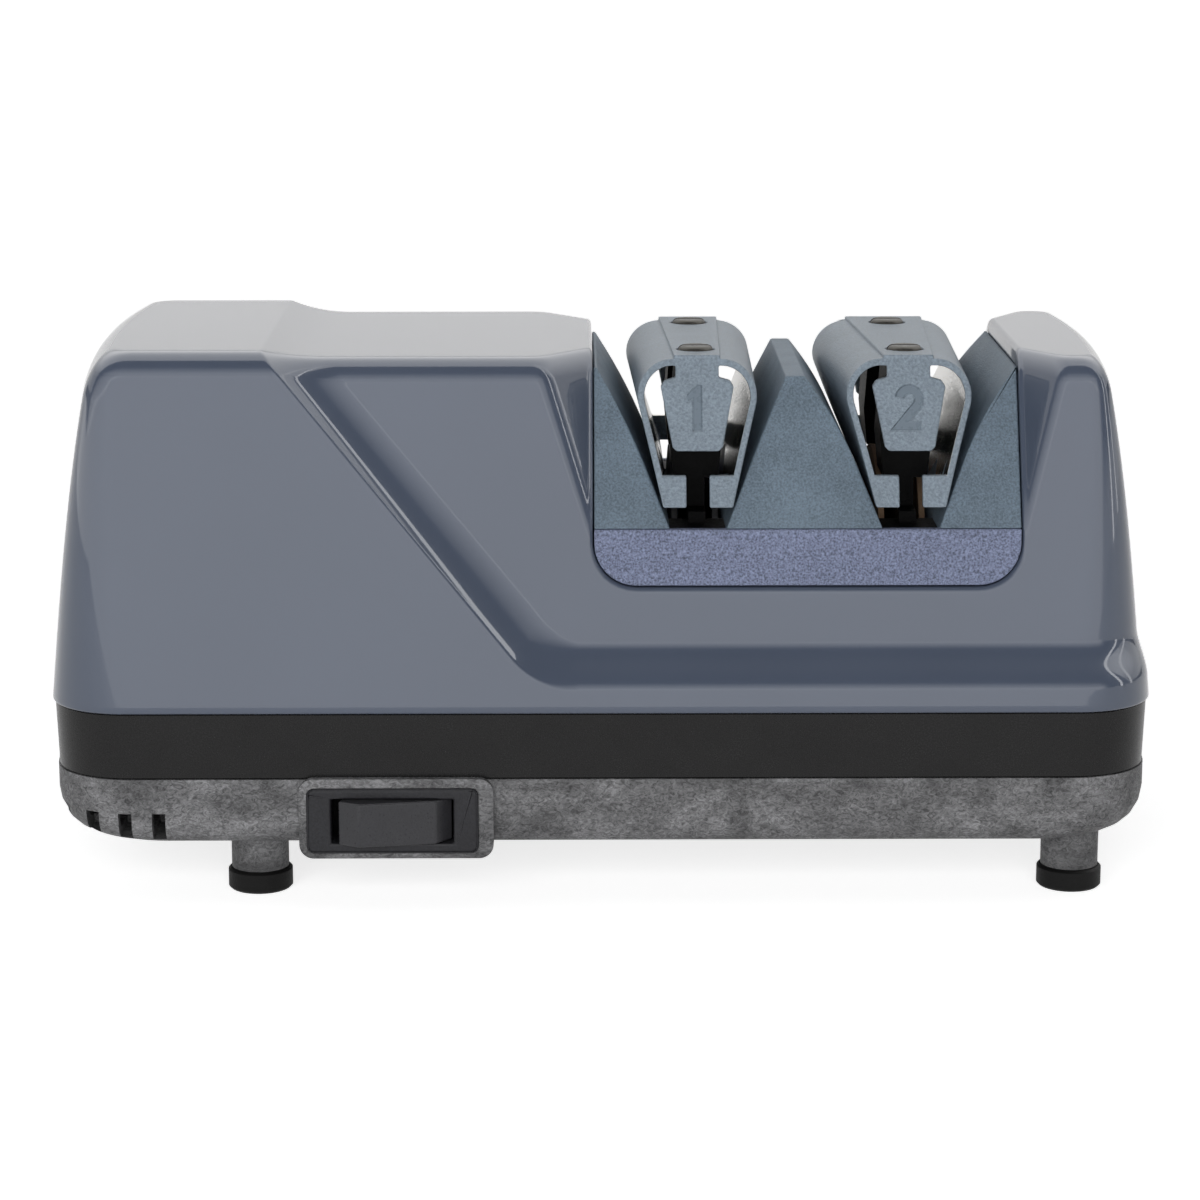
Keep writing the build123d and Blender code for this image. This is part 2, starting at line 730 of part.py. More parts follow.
# ---------------------------------------------------------------- power switch
pocket_x = (sleeve_x[0] + sleeve_wall, sleeve_x[1] - sleeve_wall)
pocket_z = (sleeve_z[0] + sleeve_wall, sleeve_z[1] - sleeve_wall)
switch_front = -pod_face + sleeve_depth + touch

with BuildPart() as switch_bezel:
    with BuildSketch(Plane.XZ.offset(pod_face)):
        with Locations((switch_x, switch_z)):
            RectangleRounded(bezel_width, bezel_height, bezel_corner)
    extrude(amount=bezel_proud)
    chamfer(switch_bezel.edges().group_by(Axis.Y)[0], bezel_chamfer)
    block(sleeve_x, (-pod_face, -pod_face + sleeve_depth), sleeve_z)
    block(pocket_x, (-far, 0), pocket_z, Mode.SUBTRACT)
    with BuildSketch(Plane.XY.offset(pocket_z[0] - sleeve_wall)):
        with Locations((switch_x, -rocker_pivot)):
            Circle(rocker_pin + run_gap)
    extrude(amount=aperture_height + 2 * sleeve_wall, mode=Mode.SUBTRACT)
save(switch_bezel, "switch_bezel")

rocker_low = pocket_z[0] + rocker_gap
rocker_high = pocket_z[1] - rocker_gap
with BuildPart() as rocker:
    level = Plane(origin=(switch_x, -rocker_pivot, rocker_low), z_dir=(0, 0, 1))
    with BuildSketch(level.rotated((0, 0, rocker_tilt))):
        with BuildLine():
            half_rocker = [(rocker_half, -rocker_face), (rocker_end_half, -rocker_end_face), rocker_heel,
                           rocker_root]
            Polyline(half_rocker + [(-x, y) for x, y in reversed(half_rocker)], close=True)
        make_face()
    extrude(amount=rocker_high - rocker_low)
    with BuildSketch(Plane.XY.offset(pocket_z[0] - sleeve_wall)):
        with Locations((switch_x, -rocker_pivot)):
            Circle(rocker_pin)
    extrude(amount=aperture_height + 2 * sleeve_wall)
save(rocker, "rocker")

with BuildPart() as switch_body:
    block((sleeve_x[0] + fit_gap, sleeve_x[1] - fit_gap), (switch_front, switch_front + switch_depth),
          (sleeve_z[0] + fit_gap, sleeve_z[1] - fit_gap))
    fillet(switch_body.edges().filter_by(Axis.Y), switch_edge)
save(switch_body, "switch_body")

blades_y = (switch_front + switch_depth + touch, switch_front + switch_depth + touch + blade_length)
with BuildPart() as switch_terminals:
    for x in (switch_x - blade_pitch, switch_x, switch_x + blade_pitch):
        block((x - blade_metal / 2, x + blade_metal / 2), blades_y,
              (switch_z - blade_width / 2, switch_z + blade_width / 2))
save(switch_terminals, "switch_terminals")

# ---------------------------------------------------------------- motor
stator_bore = rotor_radius + air_gap

with BuildPart() as stator_stack:
    with BuildSketch(on_shaft(stack_left)) as lamination:
        RectangleRounded(stack_size, stack_size, stack_corner)
        Circle(stator_bore, mode=Mode.SUBTRACT)
        with PolarLocations(0, slot_count):
            with Locations(((slot_outer + stator_bore - over) / 2, 0)):
                Rectangle(slot_outer - stator_bore + over, slot_width, mode=Mode.SUBTRACT)
        with GridLocations(bolt_spacing, bolt_spacing, 2, 2):
            Circle(bolt_radius + touch, mode=Mode.SUBTRACT)
    extrude(amount=stack_length)
save(stator_stack, "stator_stack")

bar_outer = slot_outer - winding_gap
with BuildPart() as stator_winding:
    with BuildSketch(on_shaft(stack_left - winding_overhang)):
        with PolarLocations(0, slot_count):
            with Locations(((bar_outer + winding_inner) / 2, 0)):
                Rectangle(bar_outer - winding_inner, slot_width - 2 * winding_gap)
    extrude(amount=stack_length + 2 * winding_overhang)
    for start in (stack_left - winding_overhang, stack_right + winding_overhang - winding_ring):
        ring(start, winding_ring, bar_outer, winding_inner)
save(stator_winding, "stator_winding")

rotor_start = rotor_middle - rotor_length / 2
with BuildPart() as rotor_core:
    ring(rotor_start, rotor_length, rotor_radius, shaft_radius + run_gap)
    with BuildSketch(on_shaft(rotor_start)):
        with PolarLocations(bar_circle, bar_count):
            Circle(bar_radius + pilot_gap)
    extrude(amount=rotor_length, mode=Mode.SUBTRACT)
save(rotor_core, "rotor_core")

with BuildPart() as rotor_cage:
    with BuildSketch(on_shaft(rotor_start - ring_thickness)):
        with PolarLocations(bar_circle, bar_count):
            Circle(bar_radius)
    extrude(amount=rotor_length + 2 * ring_thickness)
    for start in (rotor_start - touch - ring_thickness, rotor_start + rotor_length + touch):
        ring(start, ring_thickness, ring_outer, ring_inner)
save(rotor_cage, "rotor_cage")


def motor_bracket(plate_x, side):
    """Cast bracket: plate, bearing boss and standoffs towards the stack, feet away from it."""
    inner_x = plate_x + bracket_thickness if side < 0 else plate_x
    boss_start = plate_x if side < 0 else plate_x + bracket_thickness - bearing_length
    standoff = bracket_gap - touch
    foot_x = (plate_x - bracket_foot_length, plate_x + bracket_thickness) if side < 0 else (
        plate_x, plate_x + bracket_thickness + bracket_foot_length)
    with BuildPart() as bracket:
        with BuildSketch(on_shaft(plate_x)):
            RectangleRounded(bracket_size, bracket_size, bracket_corner)
            with PolarLocations(bracket_window_circle, 4):
                Circle(bracket_window_radius, mode=Mode.SUBTRACT)
        extrude(amount=bracket_thickness)
        ring(boss_start, bearing_length, boss_radius)
        with BuildSketch(on_shaft(inner_x)):
            with GridLocations(bolt_spacing, bolt_spacing, 2, 2):
                Circle(standoff_radius)
        extrude(amount=-side * standoff)
        for y in (-bracket_foot_y, bracket_foot_y):
            foot_y_span = (y - bracket_foot_width / 2, y + bracket_foot_width / 2)
            block((plate_x, plate_x + bracket_thickness), foot_y_span,
                  (bracket_foot_height + touch, shaft_height - bracket_size / 2 + over))
            block(foot_x, foot_y_span,
                  (bracket_foot_height + touch, bracket_foot_height + touch + foot_flange))
        ring(boss_start, bearing_length, bearing_radius + run_gap, mode=Mode.SUBTRACT)
        with BuildSketch(on_shaft(plate_x - far / 2)):
            with GridLocations(bolt_spacing, bolt_spacing, 2, 2):
                Circle(bolt_radius + touch)
        extrude(amount=far, mode=Mode.SUBTRACT)
        upright(bracket_screws_at, guide_shank + touch, bracket_foot_height,
                bracket_foot_height + foot_flange + over, Mode.SUBTRACT)
    return bracket


motor_bracket_left = motor_bracket(bracket_left_x, -1)
save(motor_bracket_left, "motor_bracket_left")
motor_bracket_right = motor_bracket(bracket_right_x, 1)
save(motor_bracket_right, "motor_bracket_right")

with BuildPart() as motor_bearing_left:
    ring(bracket_left_x, bearing_length, bearing_radius, shaft_radius + run_gap)
save(motor_bearing_left, "motor_bearing_left")
with BuildPart() as motor_bearing_right:
    ring(bracket_right_x + bracket_thickness - bearing_length, bearing_length, bearing_radius,
         shaft_radius + run_gap)
save(motor_bearing_right, "motor_bearing_right")

bolt_start = bracket_left_x - touch
bolt_end = bracket_right_x + bracket_thickness + touch
with BuildPart() as motor_bolts:
    with BuildSketch(on_shaft(bolt_start - bolt_head_height)):
        with GridLocations(bolt_spacing, bolt_spacing, 2, 2):
            RegularPolygon(bolt_head, 6)
    extrude(amount=bolt_head_height)
    with BuildSketch(on_shaft(bolt_start)):
        with GridLocations(bolt_spacing, bolt_spacing, 2, 2):
            Circle(bolt_radius)
    extrude(amount=bolt_end - bolt_start)
    with BuildSketch(on_shaft(bolt_end)):
        with GridLocations(bolt_spacing, bolt_spacing, 2, 2):
            RegularPolygon(bolt_head, 6)
    extrude(amount=bolt_head_height)
save(motor_bolts, "motor_bolts")

bracket_head_z = bracket_foot_height + foot_flange + 2 * touch
with BuildPart() as bracket_screws:
    upright(bracket_screws_at, small_head, bracket_head_z, bracket_head_z + small_head_height)
    upright(bracket_screws_at, guide_shank, base_floor + bracket_screw_foot, bracket_head_z)
    for x, y in bracket_screws_at:
        block((x - small_head, x + small_head), (y - driver_slot_half, y + driver_slot_half),
              (bracket_head_z + small_head_height / 2, bracket_head_z + small_head_height), Mode.SUBTRACT)
save(bracket_screws, "bracket_screws")

with BuildPart() as cooling_fan:
    ring(fan_left, fan_width, fan_hub)
    ring(fan_left + fan_width - fan_disc, fan_disc, fan_radius)
    with BuildSketch(on_shaft(fan_left)):
        with PolarLocations(0, blade_count):
            with Locations(((fan_hub + fan_radius - over) / 2, 0)):
                Rectangle(fan_radius - fan_hub + over, blade_thickness)
        Circle(fan_radius, mode=Mode.INTERSECT)
    extrude(amount=fan_width)
    ring(fan_left, fan_width, shaft_radius + run_gap, mode=Mode.SUBTRACT)
save(cooling_fan, "cooling_fan")

# ---------------------------------------------------------------- shaft, discs, pins and springs
pins_x = [stage + side * pin_offset for stage in stages for side in (-1, 1)]

with BuildPart() as drive_shaft:
    ring(shaft_left, shaft_right - shaft_left, shaft_radius)
    chamfer(drive_shaft.edges().filter_by(GeomType.CIRCLE), shaft_chamfer)
    upright([(x, 0) for x in pins_x], pin_radius + run_gap, shaft_height - over * shaft_radius,
            shaft_height + over * shaft_radius, Mode.SUBTRACT)
save(drive_shaft, "drive_shaft")

with BuildPart() as drive_pins:
    upright([(x, 0) for x in pins_x], pin_radius, shaft_height - pin_length / 2,
            shaft_height + pin_length / 2)
save(drive_pins, "drive_pins")

bore = shaft_radius + run_gap
disc_profile = [          # (offset from the stage's centre, radius)
    (disc_inner_face, bore), (disc_inner_face, disc_radius), (disc_rim_face, disc_radius),
    (disc_outer_face, disc_cone_start), (disc_outer_face, hub_radius), (hub_reach, hub_radius),
    (hub_reach, bore)]
shaft_axis = Axis((0, 0, shaft_height), (1, 0, 0))

for kind, stage in zip(("diamond", "strop"), stages):
    for hand, side in (("left", -1), ("right", 1)):
        with BuildPart() as disc:
            with BuildSketch(Plane.XZ):
                with BuildLine():
                    Polyline([(stage + side * out, shaft_height + radius) for out, radius in disc_profile],
                             close=True)
                make_face()
            revolve(axis=shaft_axis)
            block(sorted((stage + side * groove_floor, stage + side * (hub_reach + over))),
                  (-pin_radius - touch, pin_radius + touch),
                  (shaft_height - hub_radius - over, shaft_height + hub_radius + over), Mode.SUBTRACT)
        save(disc, f"{kind}_disc_{hand}")

spring_half = disc_inner_face - spring_wire - touch
for number, stage in enumerate(stages, start=1):
    with BuildPart() as disc_spring:
        with BuildLine() as coil:
            Helix(pitch=2 * spring_half / spring_turns, height=2 * spring_half, radius=spring_radius,
                  center=(stage - spring_half, 0, shaft_height), direction=(1, 0, 0))
        with BuildSketch(Plane(origin=coil.line @ 0, z_dir=coil.line % 0)):
            Circle(spring_wire)
        sweep()
    save(disc_spring, f"disc_spring_{number}")

# ---------------------------------------------------------------- shaft's far end
with BuildPart() as bearing_pedestal:
    with BuildSketch(on_shaft(pedestal_x, 0, 0)):
        with BuildLine():
            Polyline((-pedestal_half_width, floor_top + touch), (pedestal_half_width, floor_top + touch),
                     (boss_radius, shaft_height), (-boss_radius, shaft_height), close=True)
        make_face()
    extrude(amount=pedestal_thickness)
    ring(end_bearing_x, bearing_length, boss_radius)
    block((pedestal_x, pedestal_x + pedestal_thickness + pedestal_foot_length),
          (-pedestal_half_width, pedestal_half_width),
          (floor_top + touch, floor_top + touch + pedestal_foot_thickness))
    ring(pedestal_x - far / 2, far, bearing_radius + run_gap, mode=Mode.SUBTRACT)
    upright(pedestal_screws_at, guide_shank + touch, floor_top, floor_top + 2 * pedestal_foot_thickness,
            Mode.SUBTRACT)
save(bearing_pedestal, "bearing_pedestal")

with BuildPart() as end_bearing:
    ring(end_bearing_x, bearing_length, bearing_radius, shaft_radius + run_gap)
save(end_bearing, "end_bearing")

pedestal_head_z = floor_top + pedestal_foot_thickness + 2 * touch
with BuildPart() as pedestal_screws:
    upright(pedestal_screws_at, small_head, pedestal_head_z, pedestal_head_z + small_head_height)
    upright(pedestal_screws_at, guide_shank, base_floor + pedestal_screw_foot, pedestal_head_z)
save(pedestal_screws, "pedestal_screws")

# ---------------------------------------------------------------- stage block
tab_x = [(block_left - block_tab_reach, block_left + over),
         (block_right - over, block_right + block_tab_reach)]
tab_y = [(y - block_tab_half, y + block_tab_half) for y in (-block_screw_y, block_screw_y)]
guide_top_half = slot_floor_half + (guide_straight_top - sill_top) * tan(radians(guide_angle))
centre_wedge_x = stages_middle + centre_wedge_shift
flares = (                # half openings left and right of each stage, at the centre wedge's top
    (outer_flares[0], centre_wedge_x - centre_wedge_half - stages[0]),
    (stages[1] - centre_wedge_x - centre_wedge_half, outer_flares[1]))
wedge_face_foot = recessed_half_depth(sill_top) - wedge_setback
wedge_face_top = wedge_face_foot - wedge_face_run
# below the wedges' faces the block draws back behind the lower panels
inner_half = recessed_half_depth(sill_top) - sill_thickness - fit_gap
pegs_at = [(x, sill_top - peg_drop) for x in (block_left + peg_inset, stages_middle, block_right - peg_inset)]

with BuildPart() as stage_block:
    with BuildSketch(Plane.XZ) as wedges:
        with BuildLine():
            Polyline((block_left, block_bottom), (block_right, block_bottom), (block_right, outer_wedge_top),
                     (block_left, outer_wedge_top), close=True)
        make_face()
        with Locations((centre_wedge_x, centre_wedge_top + over)):
            Rectangle(2 * centre_wedge_half + 2 * over, 2 * over, mode=Mode.SUBTRACT)
        for stage, halves in zip(stages, flares):
            with BuildLine():
                ends = []
                for side, flare_half in zip((-1, 1), halves):
                    guide = Line((stage + side * slot_floor_half, sill_top),
                                 (stage + side * guide_top_half, guide_straight_top))
                    flare = TangentArc(guide @ 1, (stage + side * flare_half, centre_wedge_top),
                                       tangent=guide % 1)
                    beyond = Line(flare @ 1, flare @ 1 + (flare % 1) * 2 * over)
                    ends.append((guide @ 0, beyond @ 1))
                Line(ends[0][0], ends[1][0])
                Line(ends[0][1], ends[1][1])
            make_face(mode=Mode.SUBTRACT)
    extrude(amount=far, both=True)
    add(leaning_prism(wedge_face_foot, sill_top, wedge_face_top, centre_wedge_top, block_bottom, case_top),
        mode=Mode.INTERSECT)
    for y in ((inner_half, far), (-far, -inner_half)):
        block((-far, far), y, (0, sill_top), Mode.SUBTRACT)
    for x in tab_x:
        for y in tab_y:
            block(x, y, (block_bottom, block_bottom + block_tab_thickness))
    for stage in stages:
        block((stage - slot_floor_half, stage + slot_floor_half), (-far, far),
              (carrier_ledge, sill_top + touch), Mode.SUBTRACT)
        block((stage - slot_floor_half, stage + slot_floor_half), (-ledge_half_depth, ledge_half_depth),
              (0, carrier_ledge), Mode.SUBTRACT)
        block((stage - hub_pocket_half, stage + hub_pocket_half), (-hub_pocket_half, hub_pocket_half),
              (0, shaft_height + hub_pocket_rise), Mode.SUBTRACT)
    ring(-far, 2 * far, axle_groove_radius, mode=Mode.SUBTRACT)
    upright(block_posts, guide_shank + touch, 0, block_tab_top, Mode.SUBTRACT)
    with BuildSketch(Plane.XZ):
        with Locations(*pegs_at):
            Circle(peg_radius + pilot_gap)
    extrude(amount=far, both=True, mode=Mode.SUBTRACT)
save(stage_block, "stage_block")

with BuildPart() as block_screws:
    upright(block_posts, small_head, block_bottom - small_head_height - touch, block_bottom - touch)
    upright(block_posts, guide_shank, block_bottom - touch, block_bottom + block_screw_length)
    for x, y in block_posts:
        block((x - small_head, x + small_head), (y - driver_slot_half, y + driver_slot_half),
              (block_bottom - small_head_height - touch, block_bottom - small_head_height / 2 - touch),
              Mode.SUBTRACT)
save(block_screws, "block_screws")

sill_low = window_floor + window_gap
sill_high = sill_top - touch
for name, side in (("sill_front", -1), ("sill_rear", 1)):
    with BuildPart() as sill:
        with BuildSketch(on_shaft(block_left, 0, 0)):
            with BuildLine():
                Polyline(
                    (side * recessed_half_depth(sill_low), sill_low),
                    (side * recessed_half_depth(sill_high), sill_high),
                    (side * (recessed_half_depth(sill_high) - sill_thickness), sill_high),
                    (side * (recessed_half_depth(sill_low) - sill_thickness), sill_low), close=True)
            make_face()
        extrude(amount=block_right - block_left)
        with BuildSketch(Plane.XZ) as corners:
            with Locations((window_middle, sill_low + case_top / 2)):
                Rectangle(block_right - block_left, case_top)
            fillet(corners.vertices().group_by(Axis.Z)[0], window_corner - window_gap)
        extrude(amount=far, both=True, mode=Mode.INTERSECT)
        with BuildSketch(Plane.XZ.offset(-side * (inner_half + fit_gap + peg_root))):
            with Locations(*pegs_at):
                Circle(peg_radius)
        extrude(amount=side * (peg_length + peg_root))
    save(sill, name)

# ---------------------------------------------------------------- arches, carriers and their screws
strip_top = arch_top + strip_height
seat_height = strip_top - seat_depth
arch_face_foot = wedge_face_foot - arch_setback
arch_face_top = arch_face_foot - arch_face_run
heel_outer = heel_gap_half + 2 * arch_foot_half     # clear of the legs, which trim the heels


def arch_outline(flat_half, inset, low):
    """Draw an arch: level top of half width flat_half, round corners, legs leaning out from the foot."""
    centre_z = arch_top - arch_corner
    run = flat_half - arch_foot_half
    rise = centre_z - arch_bottom
    leg = atan2(rise, run) - asin(arch_corner / hypot(run, rise))
    turn = degrees(leg) - 90
    radius = arch_corner - inset
    tangent_x = flat_half + radius * cos(radians(turn))
    tangent_z = centre_z + radius * sin(radians(turn))
    low_x = tangent_x + (low - tangent_z) / tan(leg)
    with BuildLine() as loop:
        Line((-low_x, low), (low_x, low))
        Line((low_x, low), (tangent_x, tangent_z))
        CenterArc((flat_half, centre_z), radius, turn, 90 - turn)
        Line((flat_half, centre_z + radius), (-flat_half, centre_z + radius))
        CenterArc((-flat_half, centre_z), radius, 90, 90 - turn)
        Line((-tangent_x, tangent_z), (-low_x, low))
    make_face(loop.edges())


def facing(x, y):
    """An upright plane that faces the front, its origin above a point of the table."""
    return Plane(origin=(x, y, 0), x_dir=(1, 0, 0), z_dir=(0, -1, 0))


def arch_body(stage, front_flat, rear_flat, inset, low):
    """The arch's outer or inner form, widening from front to rear."""
    with BuildPart() as body:
        for y, flat in ((-arch_face_foot, front_flat), (arch_face_foot, rear_flat)):
            with BuildSketch(facing(stage, y)):
                arch_outline(flat, inset, low)
        loft(ruled=True)
    return body.part


def digit(number, stage):
    """The numeral on an arch's tab, as an upright prism."""
    top = digit_foot + digit_height
    half = digit_stroke / 2
    with BuildPart() as figure:
        with BuildSketch(facing(stage, 0)):
            if number == 1:
                with BuildLine():
                    Polyline((-half, digit_foot), (half, digit_foot), (half, top), (0, top),
                             (-2.1, top - 1.9), (-2.1, top - 3.4), (-half, top - 2.7), close=True)
                make_face()
            else:
                bow = 2.0
                with BuildLine() as stroke:
                    CenterArc((0, top - bow - half), bow, 170, -200)
                    Line(stroke.line @ 1, (-bow, digit_foot + half))
                    Line((-bow, digit_foot + half), (bow + 0.4, digit_foot + half))
                trace(line_width=digit_stroke)
        extrude(amount=far, both=True)
    return figure.part




def behind_ends(depth, low, high):
    """The space between the arches' leaning ends, from a depth behind them."""
    return leaning_prism(arch_face_foot - depth, arch_bottom, arch_face_top - depth, arch_top, low, high)


leaning_ends = behind_ends(0.0, arch_bottom, case_top)
behind_tabs = behind_ends(tab_thickness, arch_bottom - over, case_top + over)
behind_digits = behind_ends(digit_depth, arch_bottom - over, case_top + over)

for number in (1, 2):
    stage = stages[number - 1]
    front_flat = arch_flats_front[number - 1]
    rear_flat = arch_flats_rear[number - 1]
    arch_inner = arch_body(stage, front_flat, rear_flat, arch_wall, arch_bottom - over)
    arch_form = arch_body(stage, front_flat, rear_flat, 0.0, arch_bottom)
    numeral = digit(number, stage)
    with BuildPart() as tabs:
        with BuildSketch(facing(stage, 0)):
            with BuildLine():
                half_tab = [
                    (tab_neck_half, arch_top - arch_wall / 2),
                    (tab_neck_half, tab_shoulder_height + tab_fall),
                    (tab_shoulder_half - tab_chamfer, tab_shoulder_height + tab_fall / 2),
                    (tab_shoulder_half, tab_shoulder_height - tab_fall / 2),
                    (tab_foot_half, tab_foot_height + tab_chamfer),
                    (tab_foot_half - tab_chamfer, tab_foot_height)]
                Polyline(half_tab + [(-x, z) for x, z in reversed(half_tab)], close=True)
            make_face()
            for side in (-1, 1):
                with Locations((side * (heel_gap_half + heel_outer) / 2, (arch_bottom + heel_top) / 2)):
                    Rectangle(heel_outer - heel_gap_half, heel_top - arch_bottom)
        extrude(amount=far, both=True)
        add(leaning_ends, mode=Mode.INTERSECT)
        add(behind_tabs, mode=Mode.SUBTRACT)
        add(arch_form, mode=Mode.INTERSECT)
    with BuildPart() as engraving:
        add(numeral)
        add(behind_digits, mode=Mode.SUBTRACT)
    with BuildPart() as guide_arch:
        add(arch_form)
        add(arch_inner, mode=Mode.SUBTRACT)
        add(leaning_ends, mode=Mode.INTERSECT)
        add(tabs.part)
        with BuildSketch(Plane.XY.offset(arch_top - arch_wall / 2)):
            with BuildLine():
                Polyline(
                    (stage - front_flat, -arch_face_top), (stage + front_flat, -arch_face_top),
                    (stage + rear_flat, arch_face_top), (stage - rear_flat, arch_face_top), close=True)
            make_face()
        extrude(amount=strip_height + arch_wall / 2)
        upright([(stage, -guide_screw_y), (stage, guide_screw_y)], guide_head_radius + fit_gap, seat_height,
                case_top, Mode.SUBTRACT)
        upright([(stage, -guide_screw_y), (stage, guide_screw_y)], guide_shank + touch, arch_bottom, case_top,
                Mode.SUBTRACT)
        add(engraving.part, mode=Mode.SUBTRACT)
    save(guide_arch, f"guide_arch_{number}")

    tower_top = arch_top - arch_wall - touch
    with BuildPart() as arch_carrier:
        block((stage - web_half, stage + web_half), (touch - ledge_half_depth, ledge_half_depth - touch),
              (block_bottom, web_top))
        for side in (-1, 1):
            block((stage - slot_floor_half + touch, stage + slot_floor_half - touch),
                  sorted((side * (ledge_half_depth - touch), side * (inner_half - touch))),
                  (carrier_ledge + touch, sill_top - fit_gap))
            block((stage - web_half, stage + web_half),
                  sorted((side * (ledge_half_depth - touch), side * (web_half_depth - touch))),
                  (carrier_ledge + touch, web_top))
        for y in ((-tower_outer, -tower_inner), (tower_inner, tower_outer)):
            block((stage - web_half, stage + web_half), y, (web_top - root, tower_start + root))
            with BuildSketch(facing(stage, y[1])):
                with BuildLine():
                    half_tower = [(tower_waist, tower_start), (tower_half, tower_wide_height),
                                  (tower_top_half, tower_top)]
                    Polyline(half_tower + [(-x, z) for x, z in reversed(half_tower)], close=True)
                make_face()
            extrude(amount=y[1] - y[0])
        ring(stage - web_half - over, 2 * web_half + 2 * over, web_notch, mode=Mode.SUBTRACT)
        upright([(stage, -guide_screw_y), (stage, guide_screw_y)], guide_shank + pilot_gap,
                seat_height - guide_shank_length - over, case_top, Mode.SUBTRACT)
    save(arch_carrier, f"arch_carrier_{number}")

guide_screws_at = [(stage, y) for stage in stages for y in (-guide_screw_y, guide_screw_y)]
with BuildPart() as guide_screws:
    upright(guide_screws_at, guide_head_radius, seat_height + touch, seat_height + touch + guide_head_height)
    fillet(guide_screws.edges().group_by(Axis.Z)[-1], guide_dome)
    upright(guide_screws_at, guide_shank, seat_height + touch - guide_shank_length, seat_height + touch)
    for x, y in guide_screws_at:
        block((x - guide_head_radius, x + guide_head_radius), (y - driver_slot_half, y + driver_slot_half),
              (seat_height + touch + guide_head_height - guide_slot_depth, case_top), Mode.SUBTRACT)
save(guide_screws, "guide_screws")

# ---------------------------------------------------------------- clean-out cover and magnet
cover_top = base_floor + cover_plate
lip_x = (hole_x[0] + fit_gap, hole_x[1] - fit_gap)
lip_y = (hole_y[0] + fit_gap, hole_y[1] - fit_gap)
with BuildPart() as cleanout_cover:
    block((stages_middle - cover_length / 2, stages_middle + cover_length / 2),
          (-cover_width / 2, cover_width / 2), (base_floor, cover_top))
    fillet(cleanout_cover.edges().filter_by(Axis.Z), cover_edge)
    block(lip_x, lip_y, (cover_top, cover_top + cover_lip))
    block((lip_x[0] + cover_lip_wall, lip_x[1] - cover_lip_wall),
          (lip_y[0] + cover_lip_wall, lip_y[1] - cover_lip_wall), (cover_top, far), Mode.SUBTRACT)
save(cleanout_cover, "cleanout_cover")

magnet_half_length = cover_length / 2 - magnet_margin
magnet_half_width = cover_width / 2 - magnet_margin
with BuildPart() as swarf_magnet:
    block((stages_middle - magnet_half_length, stages_middle + magnet_half_length),
          (-magnet_half_width, magnet_half_width), (cover_top + touch, cover_top + touch + magnet_height))
    chamfer(swarf_magnet.edges().filter_by(Axis.Z), magnet_chamfer)
save(swarf_magnet, "swarf_magnet")

# ---------------------------------------------------------------- dressing lever
prong_inner = disc_outer_face + pad_gap + pad_thickness + touch
lever_low = lever_height
lever_high = lever_height + lever_thickness
stage_x = stages[1]
prong_y = (lever_pad_y - pad_width / 2, lever_pad_y + pad_width / 2)
with BuildPart() as dressing_lever:
    upright(lever_places, lever_hub, lever_low, lever_high)
    block((stage_x - lever_arm_half, stage_x + lever_arm_half), (lever_pivot_y, half_depth + lever_proud),
          (lever_low, lever_high))
    fillet(dressing_lever.edges().filter_by(Axis.Z).group_by(Axis.Y)[-1], lever_edge)
    for side in (-1, 1):
        prong_x = sorted((stage_x + side * prong_inner, stage_x + side * (prong_inner + prong_thickness)))
        block(prong_x, (prong_y[0], lever_pivot_y), (lever_low, lever_high))
        block(prong_x, prong_y, (lever_low, lever_low + pad_height))
    block((stage_x - prong_inner, stage_x + prong_inner),
          (lever_pivot_y - lever_bridge_half, lever_pivot_y + lever_bridge_half), (lever_low, lever_high))
    upright(lever_places, lever_pin_radius + run_gap, 0, far, Mode.SUBTRACT)
save(dressing_lever, "dressing_lever")

with BuildPart() as dressing_pads:
    for side in (-1, 1):
        block(sorted((stage_x + side * (disc_outer_face + pad_gap), stage_x + side * (prong_inner - touch))),
              (prong_y[0] + fit_gap, prong_y[1] - fit_gap),
              (lever_low + fit_gap, lever_low + pad_height - fit_gap))
save(dressing_pads, "dressing_pads")

with BuildPart() as lever_pin:
    upright(lever_places, lever_pin_radius, floor_top + lever_pin_foot, lever_high + touch)
    upright(lever_places, lever_pin_head, lever_high + touch, lever_high + touch + lever_pin_head_height)
save(lever_pin, "lever_pin")
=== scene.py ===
"""Electric knife sharpener: the moulded surfaces and finishes over its CAD parts.

Shapes are worked out in millimetres and written to the meshes in metres, in the CAD's own frame.
"""

import json
from math import cos, radians, sin, tan

